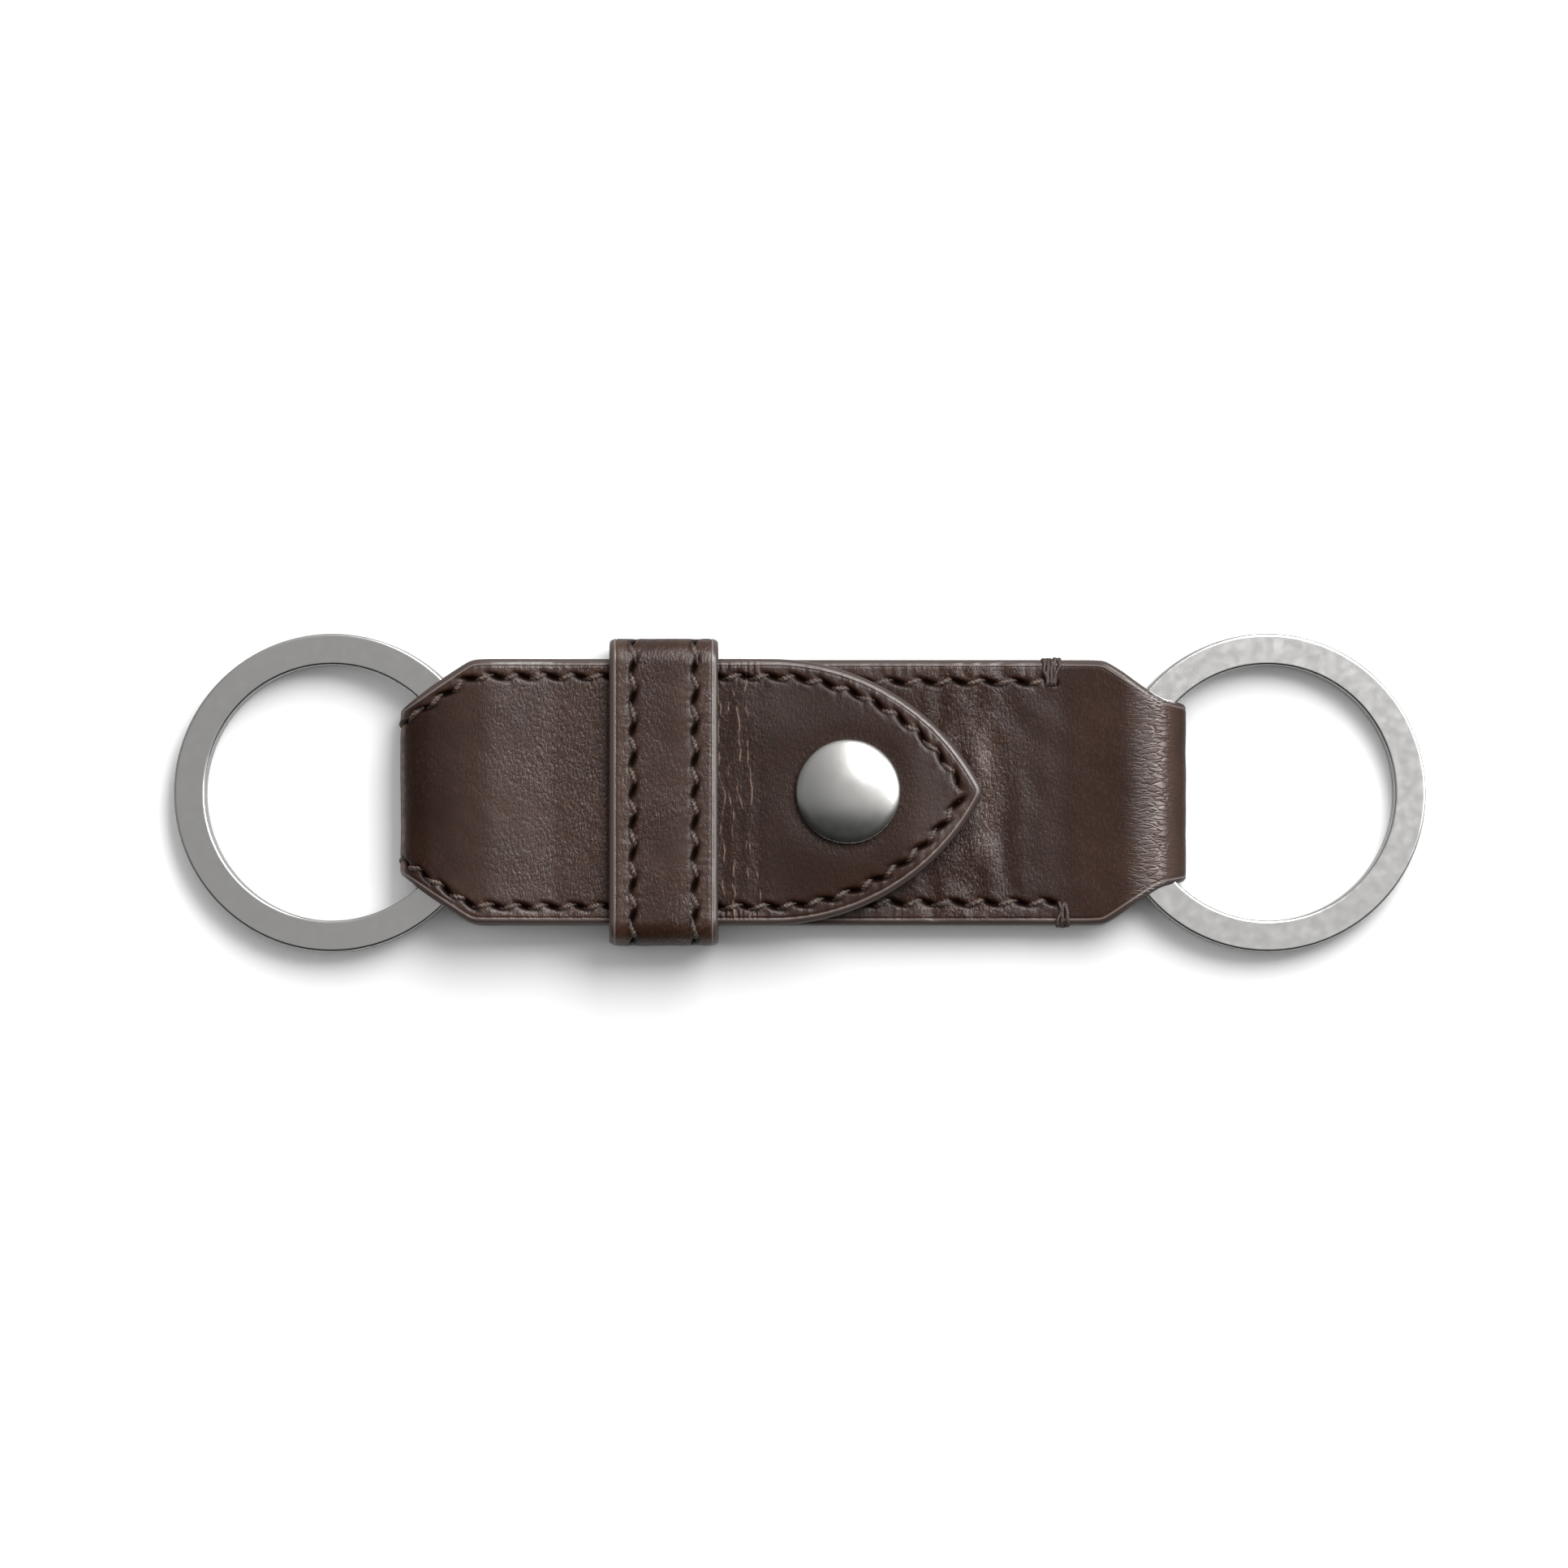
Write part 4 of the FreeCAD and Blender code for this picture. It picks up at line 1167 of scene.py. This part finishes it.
    def lining_strips(self) -> tuple[Strip, Strip]:
        """The lining inside the left loop, and the one under the flap."""
        own = self.sizes
        deep = self.leather
        fold = deep + self.left_drawn_in - own.left_reach
        loop = Path.bent((
            (own.left_end, own.flap_top - deep), (-29.4, own.flap_top + self.left_bulge - deep, 9.9),
            (fold, own.flap_top - deep, 2.1), (fold, deep, 1.1), (-29.3, deep, 3.0),
            (-26.2, own.back_low + deep, 5.0), (own.left_end, own.back_low + deep),
        ), lambda _x, _z: 0.4)
        under = Path.bent((
            (own.flap_reach - 2 * self.tip_short, own.flap_middle), (own.left_end, own.flap_middle),
        ), lambda x, _z: max(0.03, min(0.4, (own.flap_reach - x) * 0.15 + 0.03)))
        return (
            Strip("left_loop_lining_skin", loop, self.strap_plan, self.loop_lining, coarse=0.8),
            Strip("flap_lining_skin", under, self.flap_plan, own.flap_middle - own.flap_low, coarse=0.8,
                  sag=self.flap_sag),
        )

    def build(self) -> None:
        """Model every strip and its sewing, and attach them to their bodies or fix them where they cross a
        joint.
        """
        noise.seed_set(self.sewing_seed)
        left, body, flap = self.left_strip(), self.body_strip(), self.flap_strip()
        keeper, keeper_inside = self.keeper_strips()
        loop_lining, flap_lining = self.lining_strips()
        left_bend = bend_between("left_loop", "strap", self.left_flex)
        right_bend = bend_between("strap", "right_loop", self.right_flex)
        flap_bend = bend_between("strap", "flap_tip", self.flap_flex)
        for strip, bend, sewing, nodes in (
            (left, left_bend, "flap_stitching", ("left_loop_leather", "flap_leather")),
            (body, right_bend, "body_stitching", ("back_leather", "front_leather", "right_loop_leather")),
            (flap, flap_bend, "flap_tip_stitching", ("flap_tip_leather",)),
        ):
            hang(strip.build(self.hide), Finish.HIDE, *nodes, bend=bend)
            hang(sew(strip, self.thread), Finish.THREAD, sewing, bend=bend)
        hang(loop_lining.build(self.lining), Finish.LINING, "left_loop_lining", bend=left_bend)
        hang(flap_lining.build(self.lining), Finish.LINING, "flap_lining", "flap_tip_lining", bend=flap_bend)
        hang(keeper.build(self.hide), Finish.HIDE, "keeper_leather", body="keeper")
        hang(keeper_inside.build(self.lining), Finish.LINING, "keeper_lining", body="keeper")
        tacks = bmesh.new()
        tacks.verts.layers.float.new("highlight_ridge")
        own = self.sizes
        for x, side, root, strands in self.tacks:
            BarTack(x, side, root, own.half, own.back_low, own.front_top, strands).fill(tacks)
        hang(piece_from(tacks, "tack_threads", self.thread), Finish.THREAD, "bar_tacks", bend=right_bend)
        hang(sew(keeper, self.thread, sunk=0.22), Finish.THREAD, "keeper_stitching", body="keeper")


@dataclass(frozen=True)
class SplitRing:
    """A split ring: flat wire wound twice, with one step where it changes level."""

    side: str
    finish: bpy.types.Material
    start: float
    outer: float = 15.0
    band: float = 2.95
    thick: float = 1.17
    rise: float = 1.25
    climb: float = 32.0
    end_gap: float = 2.54
    edge_round: float = 0.22

    def build(self) -> None:
        """Model the ring where its joint puts it."""
        form = bmesh.new()
        bmesh.ops.create_grid(form, x_segments=3, y_segments=1, size=0.5)
        corners = [vert for vert in form.verts if abs(vert.co.x) > 0.4]
        for vert in set(form.verts) - set(corners):
            vert.co.x = math.copysign(0.5 - (self.edge_round + 0.08) / self.band, vert.co.x)
        low = Matrix.Translation(Vector((self.outer - self.band / 2, 0, self.thick / 2)) * MM)
        upright = Matrix.Rotation(math.pi / 2, 4, "X")
        size = Matrix.Diagonal(Vector((self.band * MM, self.thick * MM, 1, 1)))
        bmesh.ops.transform(form, matrix=low @ upright @ size, verts=form.verts)
        bmesh.ops.bevel(form, geom=corners, offset=self.edge_round * MM, segments=4, profile=0.5,
                        affect="VERTICES", material=-1)
        begin = math.radians(self.start + self.climb / 2 + self.end_gap)
        turn = math.radians(360 - self.climb - self.end_gap)
        bmesh.ops.rotate(form, cent=(0, 0, 0), matrix=Matrix.Rotation(begin, 3, "Z"), verts=form.verts)
        last = form.faces[:] + form.edges[:] + form.verts[:]
        step = math.radians(self.climb)
        for angle, steps, lift in ((turn, 110, 0.0), (step, 14, self.rise), (turn, 110, 0.0)):
            last = bmesh.ops.spin(form, geom=last, cent=(0, 0, 0), axis=(0, 0, 1),
                                  dvec=(0, 0, lift * MM / steps), angle=angle, steps=steps)["geom_last"]
        bmesh.ops.recalc_face_normals(form, faces=form.faces)
        joints = {joint["name"]: joint for joint in frame["record"]["behaviour"]["joints"]}
        joint = joints[f"{self.side}_ring_turn"]
        lean = Vector((0, 0, 1)).rotation_difference(Vector(joint["axis"])).to_matrix().to_4x4()
        bmesh.ops.transform(form, matrix=Matrix.Translation(joint["pos_m"]) @ lean, verts=form.verts)
        ring = piece_from(form, f"{self.side}_ring_wire", self.finish)
        hang(ring, Finish.RING, f"{self.side}_split_ring", body=f"{self.side}_ring")


@dataclass(frozen=True)
class Cap:
    """The snap's cap: a low dome with its edge rolled under, left plain."""

    finish: bpy.types.Material
    dome: float = 0.66
    crown_share: float = 0.92
    short: float = 0.07
    deep: float = 1.4
    roll: float = 0.4
    roll_up: float = 0.32
    turned_in: float = 0.7
    post: float = 1.0
    steps: int = 96

    def build(self) -> None:
        """Turn the cap about its own axis."""
        low, high = (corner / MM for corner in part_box("snap_cap"))
        radius, middle = (high.x - low.x) / 2 - self.short, (high.x + low.x) / 2
        top, base, roll = high.z, high.z - self.deep, self.roll
        shares = [n / 14 for n in range(15)]
        profile = [(radius * self.crown_share * share, top - self.dome * share ** 2.3) for share in shares]
        turns = [math.radians(50 - 16 * n) for n in range(9)]
        profile += [
            (radius - roll + roll * math.cos(turn), base + self.roll_up + roll * 0.8 * math.sin(turn))
            for turn in turns
        ]
        profile += [(radius - self.turned_in, base), (self.post, base), (self.post, low.z), (0.0, low.z)]
        form = bmesh.new()
        line = [form.verts.new(Vector((x, 0, z)) * MM) for x, z in profile]
        edges = [form.edges.new(pair) for pair in zip(line, line[1:])]
        bmesh.ops.spin(form, geom=line + edges, cent=(0, 0, 0), axis=(0, 0, 1), angle=2 * math.pi,
                       steps=self.steps, use_merge=True)
        bmesh.ops.remove_doubles(form, verts=form.verts, dist=1e-7)
        bmesh.ops.recalc_face_normals(form, faces=form.faces)
        bmesh.ops.translate(form, vec=(middle * MM, 0, 0), verts=form.verts)
        hang(piece_from(form, "cap_dome", self.finish), Finish.CAP, "snap_cap", body="flap_tip")


def dress(finishes: dict[str, tuple[bpy.types.Material, Finish]]) -> None:
    """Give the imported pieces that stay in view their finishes."""
    for node, (finish, slot) in finishes.items():
        shown = frame["nodes"][node]
        shown.data.materials.clear()
        shown.data.materials.append(finish)


@dataclass(frozen=True)
class Studio:
    """A pale table, soft lights above and to the right, and the camera almost overhead."""

    elevation: float = 88.5
    distance: float = 1.0
    lens: float = 243.8
    aim: tuple[float, float, float] = (-1.5, 0.8, 4.0)
    floor_tone: float = 0.93
    bounce: float = 0.45
    room: float = 0.5
    soft: float = 1.08
    room_rise: float = 4.8
    room_reach: float = 0.45
    bright_way: tuple[float, float, float] = (0.8, 0.5, 0.0)
    near_dark: float = 0.08
    low_dark: float = 0.12
    table_drop: float = 0.02

    def build(self) -> None:
        """Make the floor, the lights, the world and the camera."""
        self.floor()
        self.light("key", (0.28, 0.6, 0.6), (0, 0, 1), (0.4, 0.92), 10.2)
        self.light("side", (0.45, 0.15, 0.4), (0.45, 0.15, 0.4), (0.35, 0.35), 2.5).visible_diffuse = False
        self.world()
        self.camera()

    def floor(self) -> None:
        """A pale table that reads white where no shadow falls."""
        form = bmesh.new()
        bmesh.ops.create_grid(form, x_segments=1, y_segments=1, size=1.5)
        bmesh.ops.translate(form, vec=(0, 0, -self.table_drop * MM), verts=form.verts)
        material, make = blank("pale_table")
        seen = add(make.tree, "LightPath").outputs["Is Camera Ray"]
        tone = make.mix(seen, (self.bounce,) * 3 + (1,), (self.floor_tone,) * 3 + (1,))
        shader = add(make.tree, "BsdfDiffuse", {"Color": tone})
        add(make.tree, "OutputMaterial", {"Surface": shader.outputs[0]})
        piece_from(form, "table", material)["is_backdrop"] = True

    def light(self, name: str, place: tuple[float, ...], back: tuple[float, ...], size: tuple[float, float],
              power: float) -> bpy.types.Object:
        """Add a soft light.

        Args:
            name: Its name.
            place: Where it hangs.
            back: The way its back faces.
            size: Its width and height.
            power: In watts.

        Returns:
            The light.
        """
        lamp = bpy.data.lights.new(name, "AREA")
        lamp.shape, lamp.energy = "RECTANGLE", power
        lamp.size, lamp.size_y = size
        holder = bpy.data.objects.new(name, lamp)
        holder.location = place
        holder.rotation_mode = "QUATERNION"
        holder.rotation_quaternion = (-Vector(back)).to_track_quat("-Z", "Y")
        bpy.context.scene.collection.objects.link(holder)
        return holder

    def world(self) -> None:
        """A room that mirrors brighter towards the lights and darker towards the viewer, seen as white."""
        world = bpy.data.worlds.new("room")
        bpy.context.scene.world = world
        world.use_nodes = True
        world.node_tree.nodes.clear()
        make = Recipe(world.node_tree)
        towards = add(make.tree, "TexCoord").outputs["Generated"]
        side = add(make.tree, "VectorMath", {0: towards, 1: self.bright_way}, operation="DOT_PRODUCT")
        reach = self.room_reach
        path = add(make.tree, "LightPath").outputs
        turned = make.span(side.outputs["Value"], -reach, reach, -reach, reach)
        rise = make.math("POWER", self.room_rise, turned)
        mirrored = make.math("MULTIPLY_ADD", rise, self.room, -self.soft)
        wall = make.math("MULTIPLY_ADD", mirrored, path["Is Glossy Ray"], self.soft)
        split = add(make.tree, "SeparateXYZ", {0: towards}).outputs
        near = make.span(split["Y"], -0.31, -0.11, self.near_dark, 1.0)
        low = make.span(split["Z"], 0.05, 0.4, self.low_dark, 1.0)
        light = make.math("MULTIPLY", wall, make.math("MULTIPLY", near, low))
        seen = path["Is Camera Ray"]
        strength = make.math("MULTIPLY_ADD", make.math("SUBTRACT", 1.0, seen), light, seen)
        shader = add(make.tree, "Background", {"Color": (1, 1, 1, 1), "Strength": strength})
        add(make.tree, "OutputWorld", {"Surface": shader.outputs[0]})

    def camera(self) -> None:
        """Look down at the photograph's angle."""
        camera = bpy.data.cameras.new("camera")
        camera.lens, camera.sensor_width = self.lens, 36.0
        camera.clip_start = 0.01
        holder = bpy.data.objects.new("camera", camera)
        lean = math.radians(self.elevation)
        back = Vector((0, -math.cos(lean), math.sin(lean)))
        holder.location = Vector(self.aim) * MM + back * self.distance
        holder.rotation_mode = "QUATERNION"
        holder.rotation_quaternion = (-back).to_track_quat("-Z", "Y")
        bpy.context.scene.collection.objects.link(holder)
        bpy.context.scene.camera = holder
        bpy.context.scene.view_settings.view_transform = "Standard"


def note_bounds(when: str, sizes: dict[str, list[list[float]]]) -> None:
    """Write down the object's box at a moment."""
    sizes[when] = [list(corner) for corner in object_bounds()]


def main() -> None:
    """Build the fob's visible pieces, its studio and its camera."""
    logging.basicConfig(level=logging.INFO, format="%(message)s")
    sizes: dict[str, list[list[float]]] = {}
    note_bounds("loaded", sizes)
    hide, lining, thread = Hide().build(), Lining().build(), Thread().build()
    ring = SatinMetal("satin_nickel_plate", "#d4d3d1", 0.19).build()
    cap = SatinMetal("brushed_steel_cap", "#c6c5c2", 0.25, 0.9, 0.012).build()
    snap = SatinMetal("nickel_plated_brass", "#cfc9bf", 0.25).build()
    wire = SatinMetal("spring_wire", "#a9a7a4", 0.3).build()
    Leatherwork(Sizes.read(), hide, lining, thread).build()
    SplitRing("left", ring, 0.0).build()
    SplitRing("right", ring, 180.0).build()
    Cap(cap).build()
    dress({
        "back_lining": (lining, Finish.LINING),
        "snap_stud": (snap, Finish.SNAP), "snap_post": (snap, Finish.SNAP),
        "snap_socket": (snap, Finish.SNAP), "snap_spring": (wire, Finish.WIRE),
    })
    Studio().build()
    note_bounds("built", sizes)


if __name__ == "__main__":
    main()
